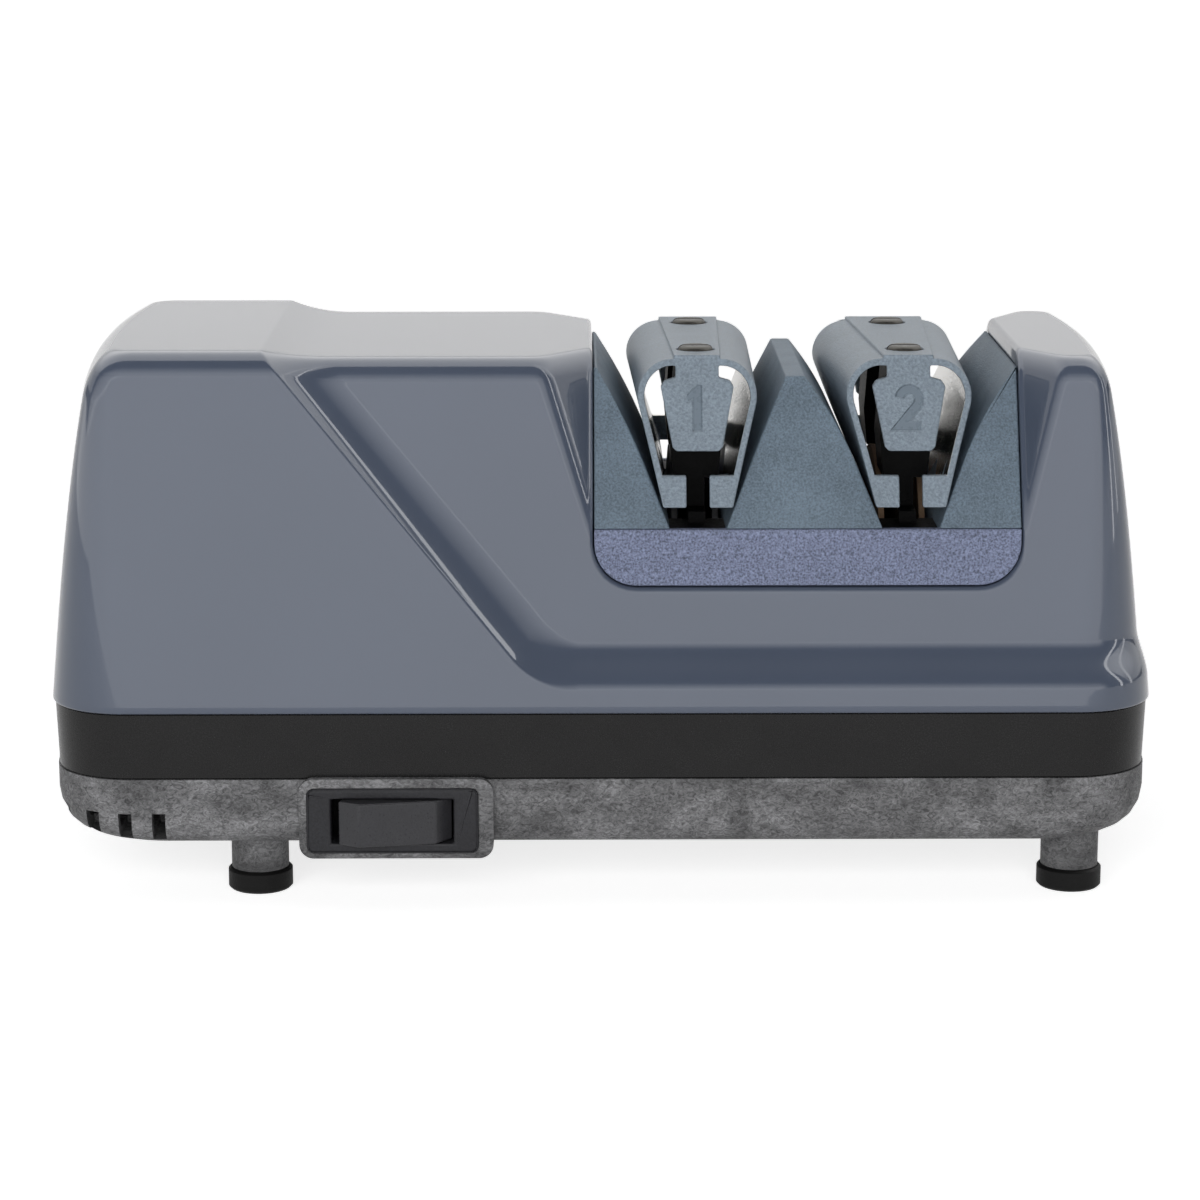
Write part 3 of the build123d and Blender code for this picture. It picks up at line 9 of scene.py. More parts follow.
import bmesh
import bpy
import numpy as np
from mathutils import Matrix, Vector

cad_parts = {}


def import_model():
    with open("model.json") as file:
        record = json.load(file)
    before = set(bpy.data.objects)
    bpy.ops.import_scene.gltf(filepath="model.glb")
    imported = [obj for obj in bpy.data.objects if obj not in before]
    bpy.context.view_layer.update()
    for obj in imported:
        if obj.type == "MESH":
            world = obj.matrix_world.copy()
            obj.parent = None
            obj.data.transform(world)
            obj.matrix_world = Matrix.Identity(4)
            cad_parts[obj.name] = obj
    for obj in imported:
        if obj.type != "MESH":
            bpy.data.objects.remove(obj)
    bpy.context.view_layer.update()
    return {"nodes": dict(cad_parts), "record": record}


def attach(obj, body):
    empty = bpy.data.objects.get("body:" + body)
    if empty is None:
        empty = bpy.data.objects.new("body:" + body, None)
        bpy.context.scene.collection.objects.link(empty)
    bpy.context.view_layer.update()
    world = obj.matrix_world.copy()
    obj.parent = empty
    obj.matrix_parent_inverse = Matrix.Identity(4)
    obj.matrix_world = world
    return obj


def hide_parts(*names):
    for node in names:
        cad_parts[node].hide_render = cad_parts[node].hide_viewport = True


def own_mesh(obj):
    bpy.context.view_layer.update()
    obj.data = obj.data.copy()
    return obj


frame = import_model()
MM = 0.001

# ---------------------------------------------------------------- sizes, as in the CAD model
CASE_HALF_WIDTH = 117.5
CASE_HALF_DEPTH = 51.5
CASE_TOP = 114.8
SEAM = 40.9               # height of the case's lower edge
FACE_LEFT = -75.0         # where the left end's outline meets the long face's columns
BOW_RADIUS = 300.0        # the ends bulge along this arc, seen from above
PLAN_CORNER = 17.0        # the upright corners' radius at the seam
CORNER_DRAFT = 12.5       # they tighten by this much towards the top
FACE_LEAN = 8.0           # the long faces lean in by this much
END_LEAN = 7.2            # the ends lean in evenly by this much,
END_CURL = 3.2            # and by this much more in a curl near the top
SHOULDER_DROP = 9.5       # height of the rounding from the ends into the top
SHOULDER_RUN = 5.0        # and its width
CROWN = 4.6               # radius of the rounding from the long faces into the top
CASE_WALL = 2.5
LOWER_EDGE = 0.6          # radius of the case's lower edge
INNER_LIP = 3.0           # the inner wall is drawn up to this height above it

STEP_DEPTH = 5.0          # how deep the recess lies in the long faces,
STEP_TOP = 2.0            # in the top
STEP_END = 1.5            # and in the right end
STEP_FOOT = -13.3         # where the slanting step meets the ledge
STEP_ANGLE = radians(50.75)
STEP_RUN = 10.5           # width of the cove from the face down into the recess
STEP_CORNER = 18.0        # radius of the corner between step and ledge
LEDGE = 45.8
LEDGE_RUN = 8.8
CREST_SOFT = 0.025        # softness of the recess's edge, as a share of its width
TOP_SINKS_FROM = 62.0     # the recess's loss of height grows from here to the crown

WINDOW_LEFT = -1.8
WINDOW_RIGHT = 87.0
WINDOW_FLOOR = 66.0
WINDOW_CORNER = 9.0
WINDOW_FADE = 9.0         # the grid is drawn round the window's corners within this reach
WINDOW_WALL = 6.0         # depth of the walls behind the window's sides
SILL_WALL = 4.0           # and behind its lower edge
RIM = 1.0                 # rounding of the window's edges

WEDGE_FOOT = 42.2         # half depth of the wedges' leaning faces at the sill
WEDGE_LEAN = 0.4815       # how fast they lean in
WEDGE_GAP = 0.2           # the case stays this far outside them
SILL_TOP = 77.9
FLARE_LEFT = 1.2          # how steeply the case sweeps back to the wedges, left and right
FLARE_RIGHT = 1.6
FLARE_SOFT = 2.4          # softness of the ridge where that sweep begins

LEVER_X = 63.9            # the slot behind, for the dressing lever
LEVER_SLOT_HALF = 5.6
LEVER_SLOT_Z = (43.0, 47.4)
LEVER_RIM = 0.5

STAGES = (19.9, 63.9)     # where the two guides stand
ARCH_WALLS_FROM = 86.0    # above the guides' feet
ARCH_MIDDLE = 96.0
TAB_HALF = 8.0            # more than half the numbered tab's width
LINER_FROM = 5.0          # the lining lies further from the guide's middle than this
DIGIT_DEPTH = 0.35

case_rise = CASE_TOP - SEAM


# ---------------------------------------------------------------- meshes from grids
def span(start, end, count, last=True):
    """Evenly spaced values from start to end."""
    return np.linspace(start, end, count, endpoint=last)


def grid_quads(rows, columns, keep=None, flip=False, first=0):
    """Corner indices of a grid's quads, left out where keep is false."""
    index = first + np.arange(rows * columns).reshape(rows, columns)
    quads = np.stack([index[:-1, :-1], index[:-1, 1:], index[1:, 1:], index[1:, :-1]], axis=-1)
    quads = quads[keep] if keep is not None else quads.reshape(-1, 4)
    return quads[:, ::-1] if flip else quads


def piece(name, grids, material, body="root", replaces=(), smooth=40.0):
    """One object from grids of points in millimetres, welded where they meet.

    Each grid is (points, keep, flip): points[row, column], a mask of its quads or None, and
    whether its faces turn over.
    """
    points, quads, first = [], [], 0
    for grid, keep, flip in grids:
        rows, columns = grid.shape[:2]
        points.append(grid.reshape(-1, 3) * MM)
        quads.append(grid_quads(rows, columns, keep, flip, first))
        first += rows * columns
    mesh = bpy.data.meshes.new(name)
    mesh.from_pydata(np.concatenate(points), [], np.concatenate(quads).tolist())
    weld(mesh)
    return dress(bpy.data.objects.new(name, mesh), material, body, replaces, smooth)


def weld(mesh, distance=2e-6):
    """Merge points that coincide, and drop faces and points that this leaves empty."""
    shape = bmesh.new()
    shape.from_mesh(mesh)
    bmesh.ops.remove_doubles(shape, verts=shape.verts, dist=distance)
    bmesh.ops.dissolve_degenerate(shape, edges=shape.edges, dist=distance)
    loose = [vertex for vertex in shape.verts if not vertex.link_faces]
    bmesh.ops.delete(shape, geom=loose, context="VERTS")
    shape.to_mesh(mesh)
    shape.free()


def dress(thing, material, body, replaces=(), smooth=40.0):
    """Link a finished object, give it its material and body, and smooth it below an angle."""
    bpy.context.scene.collection.objects.link(thing)
    thing.data.materials.clear()
    thing.data.materials.append(material)
    thing.data.polygons.foreach_set("use_smooth", [True] * len(thing.data.polygons))
    thing.data.set_sharp_from_angle(angle=radians(smooth))
    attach(thing, body)
    if replaces:
        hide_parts(*replaces)
    return thing


def mirrored(points):
    """The same points on the other side of the middle plane y = 0."""
    return points * np.array([1.0, -1.0, 1.0])


# ---------------------------------------------------------------- finishes
def finish(name, colour, roughness, metallic=0.0, coat=0.0, coat_roughness=0.03, specular=0.5):
    """A material with a bare shader; returns it with its nodes, links and shader."""
    material = bpy.data.materials.new(name)
    material.use_nodes = True
    nodes, links = material.node_tree.nodes, material.node_tree.links
    shader = nodes["Principled BSDF"]
    shader.inputs["Base Color"].default_value = (*colour, 1.0)
    shader.inputs["Roughness"].default_value = roughness
    shader.inputs["Metallic"].default_value = metallic
    shader.inputs["Coat Weight"].default_value = coat
    shader.inputs["Coat Roughness"].default_value = coat_roughness
    shader.inputs["Specular IOR Level"].default_value = specular
    return material, nodes, links, shader


def place(nodes, links, stretch=(1.0, 1.0, 1.0)):
    """Object coordinates, stretched along the axes for brushed or drawn patterns."""
    coordinates = nodes.new("ShaderNodeTexCoord")
    mapping = nodes.new("ShaderNodeMapping")
    mapping.inputs["Scale"].default_value = stretch
    links.new(coordinates.outputs["Object"], mapping.inputs["Vector"])
    return mapping.outputs["Vector"]


def noise(nodes, links, vector, size, detail=2.0, roughness=0.5, wander=0.0):
    """Noise whose blotches are about size millimetres across, drawn out into wandering strands."""
    texture = nodes.new("ShaderNodeTexNoise")
    texture.inputs["Scale"].default_value = 1.0 / (size * MM)
    texture.inputs["Detail"].default_value = detail
    texture.inputs["Roughness"].default_value = roughness
    texture.inputs["Distortion"].default_value = wander
    links.new(vector, texture.inputs["Vector"])
    return texture.outputs["Fac"]


def spread(nodes, links, value, low, high, start=0.3, end=0.7):
    """Map the middle of a noise onto low to high."""
    mapping = nodes.new("ShaderNodeMapRange")
    mapping.inputs["From Min"].default_value = start
    mapping.inputs["From Max"].default_value = end
    mapping.inputs["To Min"].default_value = low
    mapping.inputs["To Max"].default_value = high
    links.new(value, mapping.inputs["Value"])
    return mapping.outputs["Result"]


def tint(nodes, links, value, dark, light):
    """A colour between dark and light, by a value from 0 to 1."""
    mix = nodes.new("ShaderNodeMix")
    mix.data_type = "RGBA"
    mix.inputs["A"].default_value = (*dark, 1.0)
    mix.inputs["B"].default_value = (*light, 1.0)
    links.new(value, mix.inputs["Factor"])
    return mix.outputs["Result"]


def reckon(nodes, links, operation, first, second):
    """One step of a sum, on node outputs or numbers."""
    step = nodes.new("ShaderNodeMath")
    step.operation = operation
    for socket, value in zip(step.inputs, (first, second)):
        if isinstance(value, (int, float)):
            socket.default_value = value
        else:
            links.new(value, socket)
    return step.outputs[0]


def relief(nodes, links, shader, value, depth, strength=1.0):
    """Bump the shader's normal by a value, depth in millimetres."""
    bump = nodes.new("ShaderNodeBump")
    bump.inputs["Distance"].default_value = depth * MM
    bump.inputs["Strength"].default_value = strength
    links.new(value, bump.inputs["Height"])
    links.new(bump.outputs["Normal"], shader.inputs["Normal"])


def scaled(colour, factor):
    """A colour made darker or lighter."""
    return tuple(min(channel * factor, 1.0) for channel in colour)


def grained(name, colour, roughness=0.5, grain=0.5, depth=0.05, mottle=0.12, sparkle=0.1,
            specular=0.5):
    """Moulded plastic with a fine eroded grain, of that size and depth in millimetres.

    The colour is uneven by mottle in wide patches, and by sparkle from grain to grain.
    """
    patch, uneven = 9.0, 0.07
    material, nodes, links, shader = finish(name, colour, roughness, specular=specular)
    vector = place(nodes, links)
    patches = noise(nodes, links, vector, patch, 3.0)
    fine = noise(nodes, links, vector, grain, 2.0, 0.6)
    shade = reckon(nodes, links, "ADD", spread(nodes, links, patches, -mottle, mottle),
                   spread(nodes, links, fine, -sparkle, sparkle))
    swing = mottle + sparkle
    share = spread(nodes, links, shade, 0.0, 1.0, -swing, swing)
    links.new(tint(nodes, links, share, scaled(colour, 1 - swing), scaled(colour, 1 + swing)),
              shader.inputs["Base Color"])
    relief(nodes, links, shader, fine, depth)
    links.new(spread(nodes, links, fine, roughness - uneven, roughness + uneven),
              shader.inputs["Roughness"])
    return material


def fibrous(name, dark, light, roughness=0.5):
    """Fibre-filled plastic: fine light strands wander over a dark ground, thick in pale clouds.

    The strands' share is a distorted fine noise times a wide one, plus a little of the wide one;
    it is less on the feet, as painted shade for the shadow under the base.
    """
    strand, cloud = 1.1, 15.0            # widths of the two patterns
    thinnest, veil = 0.45, 0.16          # least share of strands, and what the clouds add alone
    # painted shade: below these heights the feet, in the shadow under the base, are darkened
    foot_shade_heights = (0.006, 0.014)            # heights between which the strands thin out, in metres
    uneven = 0.1
    material, nodes, links, shader = finish(name, dark, roughness, specular=0.3)
    vector = place(nodes, links, (0.75, 1.0, 1.15))
    strands = noise(nodes, links, vector, strand, 5.0, 0.72, 1.6)
    clouds = noise(nodes, links, vector, cloud, 3.0, 0.6, 1.2)
    clouds = spread(nodes, links, clouds, 0.0, 1.0, 0.36, 0.66)
    thick = reckon(nodes, links, "MULTIPLY", spread(nodes, links, strands, 0.0, 1.0, 0.36, 0.68),
                   spread(nodes, links, clouds, thinnest, 1.0, 0.0, 1.0))
    share = reckon(nodes, links, "ADD", thick, reckon(nodes, links, "MULTIPLY", clouds, veil))
    axes = nodes.new("ShaderNodeSeparateXYZ")
    links.new(place(nodes, links), axes.inputs[0])
    # painted shade on the feet: the strands' share falls towards the thinnest share low down
    painted_foot_shade = spread(nodes, links, axes.outputs["Z"], thinnest, 1.0, *foot_shade_heights)
    share = reckon(nodes, links, "MULTIPLY", share, painted_foot_shade)
    links.new(tint(nodes, links, share, dark, light), shader.inputs["Base Color"])
    relief(nodes, links, shader, strands, 0.08)
    links.new(spread(nodes, links, strands, roughness + uneven, roughness - uneven),
              shader.inputs["Roughness"])
    return material


def metal(name, colour, roughness=0.3, stretch=(1.0, 1.0, 1.0), grain=0.6, depth=0.01):
    """Machined or drawn metal: fine marks, longer along the axis that is stretched least."""
    smoother, rougher, darkest = 0.08, 0.1, 0.85
    material, nodes, links, shader = finish(name, colour, roughness, metallic=1.0)
    marks = noise(nodes, links, place(nodes, links, stretch), grain, 3.0)
    relief(nodes, links, shader, marks, depth)
    links.new(spread(nodes, links, marks, roughness - smoother, roughness + rougher),
              shader.inputs["Roughness"])
    share = spread(nodes, links, marks, 0.0, 1.0)
    links.new(tint(nodes, links, share, scaled(colour, darkest), colour),
              shader.inputs["Base Color"])
    return material


def glossy_case():
    """Polished slate-grey plastic: a clear coat over even colour, with a faint moulding ripple."""
    slate, uneven = (0.082, 0.101, 0.145), 0.04
    cloud, ripple, ripple_depth = 60.0, 14.0, 0.02
    material, nodes, links, shader = finish(
        "slate gloss", slate, 0.3, coat=1.0, coat_roughness=0.03, specular=0.2)
    vector = place(nodes, links)
    clouds = spread(nodes, links, noise(nodes, links, vector, cloud, 2.0), 0.0, 1.0)
    links.new(tint(nodes, links, clouds, scaled(slate, 1 - uneven), scaled(slate, 1 + uneven)),
              shader.inputs["Base Color"])
    relief(nodes, links, shader, noise(nodes, links, vector, ripple, 1.0), ripple_depth, 0.4)
    return material


slate_gloss = glossy_case()
# colour, roughness, size and depth of the grain, mottle, sparkle, specular level
satin_black = grained("satin black", (0.008, 0.0078, 0.008), 0.26, 0.35, 0.008, 0.15, 0.05, 0.3)
rubber = grained("rubber", (0.005, 0.005, 0.005), 0.55, 0.5, 0.05, 0.2, 0.1, 0.2)
switch_charcoal = grained("switch charcoal", (0.019, 0.019, 0.022),
                          0.42, 0.45, 0.06, 0.12, 0.3, 0.35)
rocker_charcoal = grained("rocker charcoal", (0.036, 0.036, 0.040),
                          0.34, 0.4, 0.03, 0.08, 0.15, 0.4)
# black plastic, darkened well past its own colour as painted shade for the dark inside of the case
inner_black = grained("inner black with painted shade", (0.0015, 0.0015, 0.0016), 0.5, 0.6, 0.05, 0.1, 0.1, 0.08)
digit_grey = grained("digit grey", (0.175, 0.218, 0.262), 0.3, 1.5, 0.01, 0.03, 0.03, 0.45)
stage_teal = grained("stage teal", (0.150, 0.197, 0.245), 0.5, 0.45, 0.2, 0.12, 0.3, 0.35)
sill_violet = grained("sill violet", (0.200, 0.230, 0.343), 0.42, 0.42, 0.4, 0.05, 0.6, 0.4)
guide_grey = grained("guide grey", (0.230, 0.280, 0.332), 0.40, 0.55, 0.2, 0.05, 0.26, 0.5)
strop_tan = grained("strop tan", (0.30, 0.20, 0.13), 0.8, 0.5, 0.1, 0.3)
dressing_grit = grained("dressing grit", (0.40, 0.38, 0.33), 0.9, 0.3, 0.2, 0.2)
pan_grey = fibrous("pan grey", (0.042, 0.042, 0.043), (0.34, 0.34, 0.35))
# colour, roughness, then the marks' stretch, size and depth where they aren't the usual ones
polished_liner = metal("polished liner", (0.86, 0.84, 0.80), 0.18, depth=0.004)
plated_grit = metal("plated grit", (0.25, 0.25, 0.26), 0.5, grain=0.15, depth=0.08)
bright_steel = metal("bright steel", (0.55, 0.55, 0.56), 0.25)
dull_steel = metal("dull steel", (0.075, 0.072, 0.066), 0.42)
brass = metal("contact brass", (0.75, 0.60, 0.30), 0.3)
laminated = metal("laminated steel", (0.30, 0.31, 0.33), 0.4, (60.0, 1.0, 1.0), 20.0, 0.02)
enamelled = metal("enamelled copper", (0.72, 0.38, 0.20), 0.35)
cast_alloy = metal("cast alloy", (0.65, 0.66, 0.68), 0.5, depth=0.05)
bronze = metal("sintered bronze", (0.55, 0.40, 0.22), 0.5, grain=0.3, depth=0.05)
magnet_black = metal("magnet", (0.20, 0.20, 0.20), 0.6, depth=0.06)

finishes = {
    "housing_gloss": slate_gloss, "band_black": satin_black, "base_grey": pan_grey,
    "rubber_black": rubber, "steel": bright_steel, "dark_steel": dull_steel,
    "switch_black": switch_charcoal, "inner_black": inner_black, "contact_brass": brass,
    "lamination": laminated, "copper": enamelled, "cast_alloy": cast_alloy, "bronze": bronze,
    "abrasive_plate": plated_grit, "strop_tan": strop_tan, "stage_teal": stage_teal,
    "sill_violet": sill_violet, "guide_grey": guide_grey, "magnet": magnet_black,
    "dressing_grit": dressing_grit,
}
slot_of = {row["node"]: row["material_slot"] for row in frame["record"]["subparts"]}


# ---------------------------------------------------------------- the glossy case
def quarter(rise, radius):
    """How far a quarter-round of that radius has drawn in, at a rise above its start."""
    rise = np.clip(rise, 0.0, radius)
    return radius - np.sqrt(radius**2 - rise**2)


def case_sizes(z, inset, side_in, end_in, top_in):
    """Half width, half depth and corner radius of the case at each height.

    The long faces lean in evenly, the ends lean and then curl with the cube of the height, and
    both round off into the top by quarter-rounds.
    """
    t = (z - SEAM) / case_rise
    top = CASE_TOP - top_in
    width = CASE_HALF_WIDTH - inset - end_in - END_LEAN * t - END_CURL * t**3
    drop = SHOULDER_DROP - top_in
    width = width - quarter(z - top + drop, drop) * (SHOULDER_RUN - end_in) / drop
    depth = CASE_HALF_DEPTH - inset - side_in - FACE_LEAN * t - quarter(z - top + CROWN, CROWN)
    return width, depth, PLAN_CORNER - inset - end_in - CORNER_DRAFT * t


def end_points(width, depth, corner, edge, share):
    """Points round one end, from the middle of the bow (share 0) to x = edge (share 1), by length.

    The outline is the bow's arc, then the corner's arc, then a straight run along the face.
    """
    bow_x = width - BOW_RADIUS
    corner_x = bow_x + np.sqrt((BOW_RADIUS - corner)**2 - (depth - corner)**2)
    turn = np.arctan2(depth - corner, corner_x - bow_x)
    bow_length = BOW_RADIUS * turn
    # where the corner's arc passes x = edge, as the angle left to the face
    stop = np.arcsin(np.clip((edge - corner_x) / corner, 0.0, 1.0))
    arc_length = corner * (np.pi / 2 - turn - stop)
    length = bow_length + arc_length + np.maximum(corner_x - edge, 0.0)
    along = share * length
    on_bow = np.minimum(along, bow_length) / BOW_RADIUS
    on_corner = turn + np.clip(along - bow_length, 0.0, arc_length) / corner
    x_bow = bow_x + BOW_RADIUS * np.cos(on_bow)
    y_bow = BOW_RADIUS * np.sin(on_bow)
    on_face = np.maximum(along - bow_length - arc_length, 0.0)
    x_corner = corner_x + corner * np.cos(on_corner) - on_face
    y_corner = depth - corner + corner * np.sin(on_corner)
    bowed = along < bow_length
    return np.where(bowed, x_bow, x_corner), np.where(bowed, y_bow, y_corner)


def soft_corner(value, half):
    """Zero below -half, the value above half, and a parabola between."""
    middle = (value + half)**2 / (4 * half)
    return np.where(value < -half, 0.0, np.where(value > half, value, middle))


def recess_share(x, z):
    """How far a point of the case is sunk into the recess: 0 outside, 1 at its full depth.

    The distance inwards from the slanting step and the level ledge, which a round corner joins,
    goes over the width of the step there. At the step its parabola makes a cove with a crisp edge,
    at the ledge a cubic makes a round that turns into a cove.
    """
    lean = np.pi / 2 - STEP_ANGLE
    centre_x = STEP_FOOT + STEP_CORNER * tan(STEP_ANGLE / 2)
    centre_z = LEDGE + STEP_CORNER
    from_x, from_z = x - centre_x, z - centre_z
    facing = np.arctan2(-from_z, -from_x)
    angle = np.clip(facing, lean, np.pi / 2)
    to_ledge = from_z
    to_step = from_x * cos(lean) + from_z * sin(lean)
    in_corner = (facing > lean) & (facing < np.pi / 2)
    nearest = np.where(in_corner, -np.hypot(from_x, from_z), np.minimum(to_ledge, to_step))
    angle = np.where(in_corner, angle, np.where(to_ledge < to_step, np.pi / 2, lean))
    ledgeward = (angle - lean) / (np.pi / 2 - lean)
    run = STEP_RUN + (LEDGE_RUN - STEP_RUN) * ledgeward
    along = np.minimum(soft_corner((STEP_CORNER + nearest) / run, CREST_SOFT), 1.0)
    cove = 1.0 - (1.0 - along)**2
    wave = along * along * (3.0 - 2.0 * along)
    return cove + (wave - cove) * ledgeward


def lesser(first, second, soft):
    """The lesser of two values, blended over soft millimetres where they cross."""
    share = np.clip(0.5 + 0.5 * (second - first) / soft, 0.0, 1.0)
    return second + (first - second) * share - soft * share * (1.0 - share)


def swept_depth(x, y, z, top):
    """Draw the case's faces back beside the window, to meet the wedges' leaning faces.

    The limit is a plane: the wedges' own lean, plus a slope away from the window's edge.
    """
    wedge = (WEDGE_FOOT + WEDGE_GAP - WEDGE_LEAN * (z - SILL_TOP)
             - quarter(z - top + CROWN, CROWN))
    left = wedge + FLARE_LEFT * (WINDOW_LEFT - x)
    right = wedge + FLARE_RIGHT * (x - WINDOW_RIGHT)
    limit = np.where(x < (WINDOW_LEFT + WINDOW_RIGHT) / 2, left, right)
    return np.where(z > WINDOW_FLOOR, lesser(y, limit, FLARE_SOFT), y)


# rows of the case's grid: by the lever's slot, on the ledge, under and beside the window, round
# the shoulder and the crown, and over the top
SLOT_ROWS, LEDGE_ROWS, FACE_ROWS, WINDOW_ROWS = 7, 22, 8, 26
SHOULDER_ROWS, CROWN_ROWS, TOP_ROWS = 8, 13, 22
BELOW_LEDGE = 44.2        # height of one more row, under the ledge
# its columns: left of the step, on the step's edge, over its cove, up to the window's ridge and
# from there to the window; over the window left of the slot, by the slot and right of it; and
# round the left and the right end
FACE_COLUMNS = (26, 8, 40, 18, 16)
WINDOW_COLUMNS = (24, 5, 9)
END_COLUMNS = (52, 70)
RIGHT_END_CROWDING = 1.25     # a power that draws the right end's columns towards the window


def case_rows():
    """Rows of the case's grid, bottom to middle line: height, inset, closing share, edge's turn.

    They come down the inner wall, round the lower edge, up the face, over the crown, and then
    across the top to the middle line.
    """
    edge, quarters = LOWER_EDGE, [radians(30 * k) for k in range(4)]
    rows = [(SEAM + INNER_LIP, CASE_WALL, 0, 0), (SEAM, CASE_WALL, 0, 0)]
    rows += [(SEAM + edge * (1 - cos(a)), edge * (1 - sin(a)), 0, 0) for a in quarters]
    low = LEVER_SLOT_Z[0] - LEVER_RIM
    high = LEVER_SLOT_Z[1] + LEVER_RIM
    ledge_top = LEDGE + LEDGE_RUN + 1.0
    window = WINDOW_FLOOR - RIM
    below = [low, BELOW_LEDGE, *span(LEDGE - 0.2, high, SLOT_ROWS),
             *span(high, ledge_top, LEDGE_ROWS)[1:], *span(ledge_top, window, FACE_ROWS)[1:]]
    rows += [(z, 0, 0, 0) for z in below]
    first_above = len(rows) - 1
    shoulder = CASE_TOP - SHOULDER_DROP
    rows += [(z, 0, 0, 0) for z in span(window, shoulder, WINDOW_ROWS)[1:]]
    rows += [(shoulder + SHOULDER_DROP * sin(a), 0, 0, 0)
             for a in span(0, radians(35), SHOULDER_ROWS)[1:]]
    rows += [(CASE_TOP - CROWN * (1 - sin(a)), 0, 0, a) for a in span(0, radians(90), CROWN_ROWS)]
    rows += [(CASE_TOP, 0, share, np.pi / 2) for share in span(0, 1, TOP_ROWS)[1:]]
    return np.array(rows), first_above


def face_columns(z, left_edge):
    """Positions of the front's columns left of the window, at each height.

    They run along the step's crisp edge and its cove, and along the ridge beside the window: the
    step's foot and the ridge's foot, each moved left in proportion to the height above it.
    """
    before_crest, behind_crest, cove_end, before_window = 0.9, 1.5, 13.8, 2.6
    ridge_gap, ridge_slant, ridge_foot = 1.5, 0.285, 74.0
    step_x = STEP_FOOT - np.clip(z - LEDGE, 0.0, None) / tan(STEP_ANGLE)
    ridge_x = left_edge - ridge_gap - ridge_slant * np.clip(z - ridge_foot, 0.0, None)
    cove_x = np.minimum(step_x + cove_end, left_edge - before_window)
    stations = [FACE_LEFT + 0 * z, step_x - before_crest, step_x + behind_crest, cove_x,
                np.maximum(ridge_x, cove_x + 1.0), left_edge + 0 * z]
    return [start + (end - start) * span(0, 1, count, False)
            for start, end, count in zip(stations, stations[1:], FACE_COLUMNS)]


def case_grid():
    """The front half of the case as one grid, with the column numbers of the window's edges."""
    rows, first_above = case_rows()
    z, inset, closing, turn = (rows[:, [k]] for k in range(4))
    left_edge, right_edge = WINDOW_LEFT - RIM, WINDOW_RIGHT + RIM
    slot_half = LEVER_SLOT_HALF + LEVER_RIM
    marks = (left_edge, LEVER_X - slot_half, LEVER_X + slot_half, right_edge)
    window_x = np.concatenate([span(start, end, count, False) for start, end, count
                               in zip(marks, marks[1:], WINDOW_COLUMNS)]) + 0 * z
    x_face = np.concatenate(face_columns(z, left_edge) + [window_x], axis=1)
    left_share = span(0, 1, END_COLUMNS[0], False)[None, :]
    right_share = (1 - span(0, 1, END_COLUMNS[1])**RIGHT_END_CROWDING)[None, :]
    first_left = left_share.shape[1] + sum(FACE_COLUMNS)
    first_right = first_left + window_x.shape[1]

    def form(heights, side_in, end_in, top_in):
        """The outline at each height, drawn in by so much on the sides, the ends and the top."""
        width, depth, corner = case_sizes(heights, inset, side_in, end_in, top_in)
        x_left, y_left = end_points(width, depth, corner, -FACE_LEFT, left_share)
        x_right, y_right = end_points(width, depth, corner, right_edge, right_share)
        x = np.concatenate([-x_left, x_face, x_right], axis=1)
        y = np.concatenate([y_left, depth + 0 * x_face, y_right], axis=1)
        return x, y

    sinking = (z - TOP_SINKS_FROM) / (CASE_TOP - CROWN - TOP_SINKS_FROM)
    lowered = STEP_TOP * np.clip(sinking, 0.0, 1.0)
    x_full, y_full = form(z, 0.0, 0.0, 0.0)
    x_sunk, y_sunk = form(z - lowered, STEP_DEPTH, STEP_END, STEP_TOP)
    y_sunk = swept_depth(x_sunk, y_sunk, z - lowered, CASE_TOP - STEP_TOP)
    share = recess_share(x_full, z + 0 * x_full)
    x = x_full + (x_sunk - x_full) * share
    y = (y_full + (y_sunk - y_full) * share) * (1 - closing)
    height = z - lowered * share
    points = np.stack([x, -y, height], axis=-1)
    return round_window_corners(points), turn, first_above, first_left, first_right


def round_window_corners(points):
    """Move the grid near the window's two lower corners so that its edge runs round them.

    A point at a distance along the square corner goes to the point at the same share of the arc,
    and the move fades out within a few millimetres of the edge.
    """
    reach, fade = WINDOW_CORNER + RIM, WINDOW_FADE
    x, y, z = points[..., 0], points[..., 1], points[..., 2]
    for edge, side in ((WINDOW_LEFT - RIM, 1), (WINDOW_RIGHT + RIM, -1)):
        across = side * (x - edge)
        above = z - (WINDOW_FLOOR - RIM)
        beside = np.clip(reach - above, 0.0, reach)
        below = np.clip(reach - across, 0.0, reach)
        angle = np.pi / 4 * (1 + (beside - below) / reach)
        move_x = reach * (1 - np.cos(angle)) - (reach - below)
        move_z = reach * (1 - np.sin(angle)) - (reach - beside)
        fading = (np.clip(1 + np.minimum(across, 0.0) / fade, 0.0, 1.0)
                  * np.clip(1 + np.minimum(above, 0.0) / fade, 0.0, 1.0))
        near = (y < 0) & (across < reach) & (above < reach)
        fading = np.where(near, fading * fading * (3 - 2 * fading), 0.0)
        x = x + side * move_x * fading
        z = z + move_z * fading
        y = y + FACE_LEAN / case_rise * move_z * fading
    return np.stack([x, y, z], axis=-1)


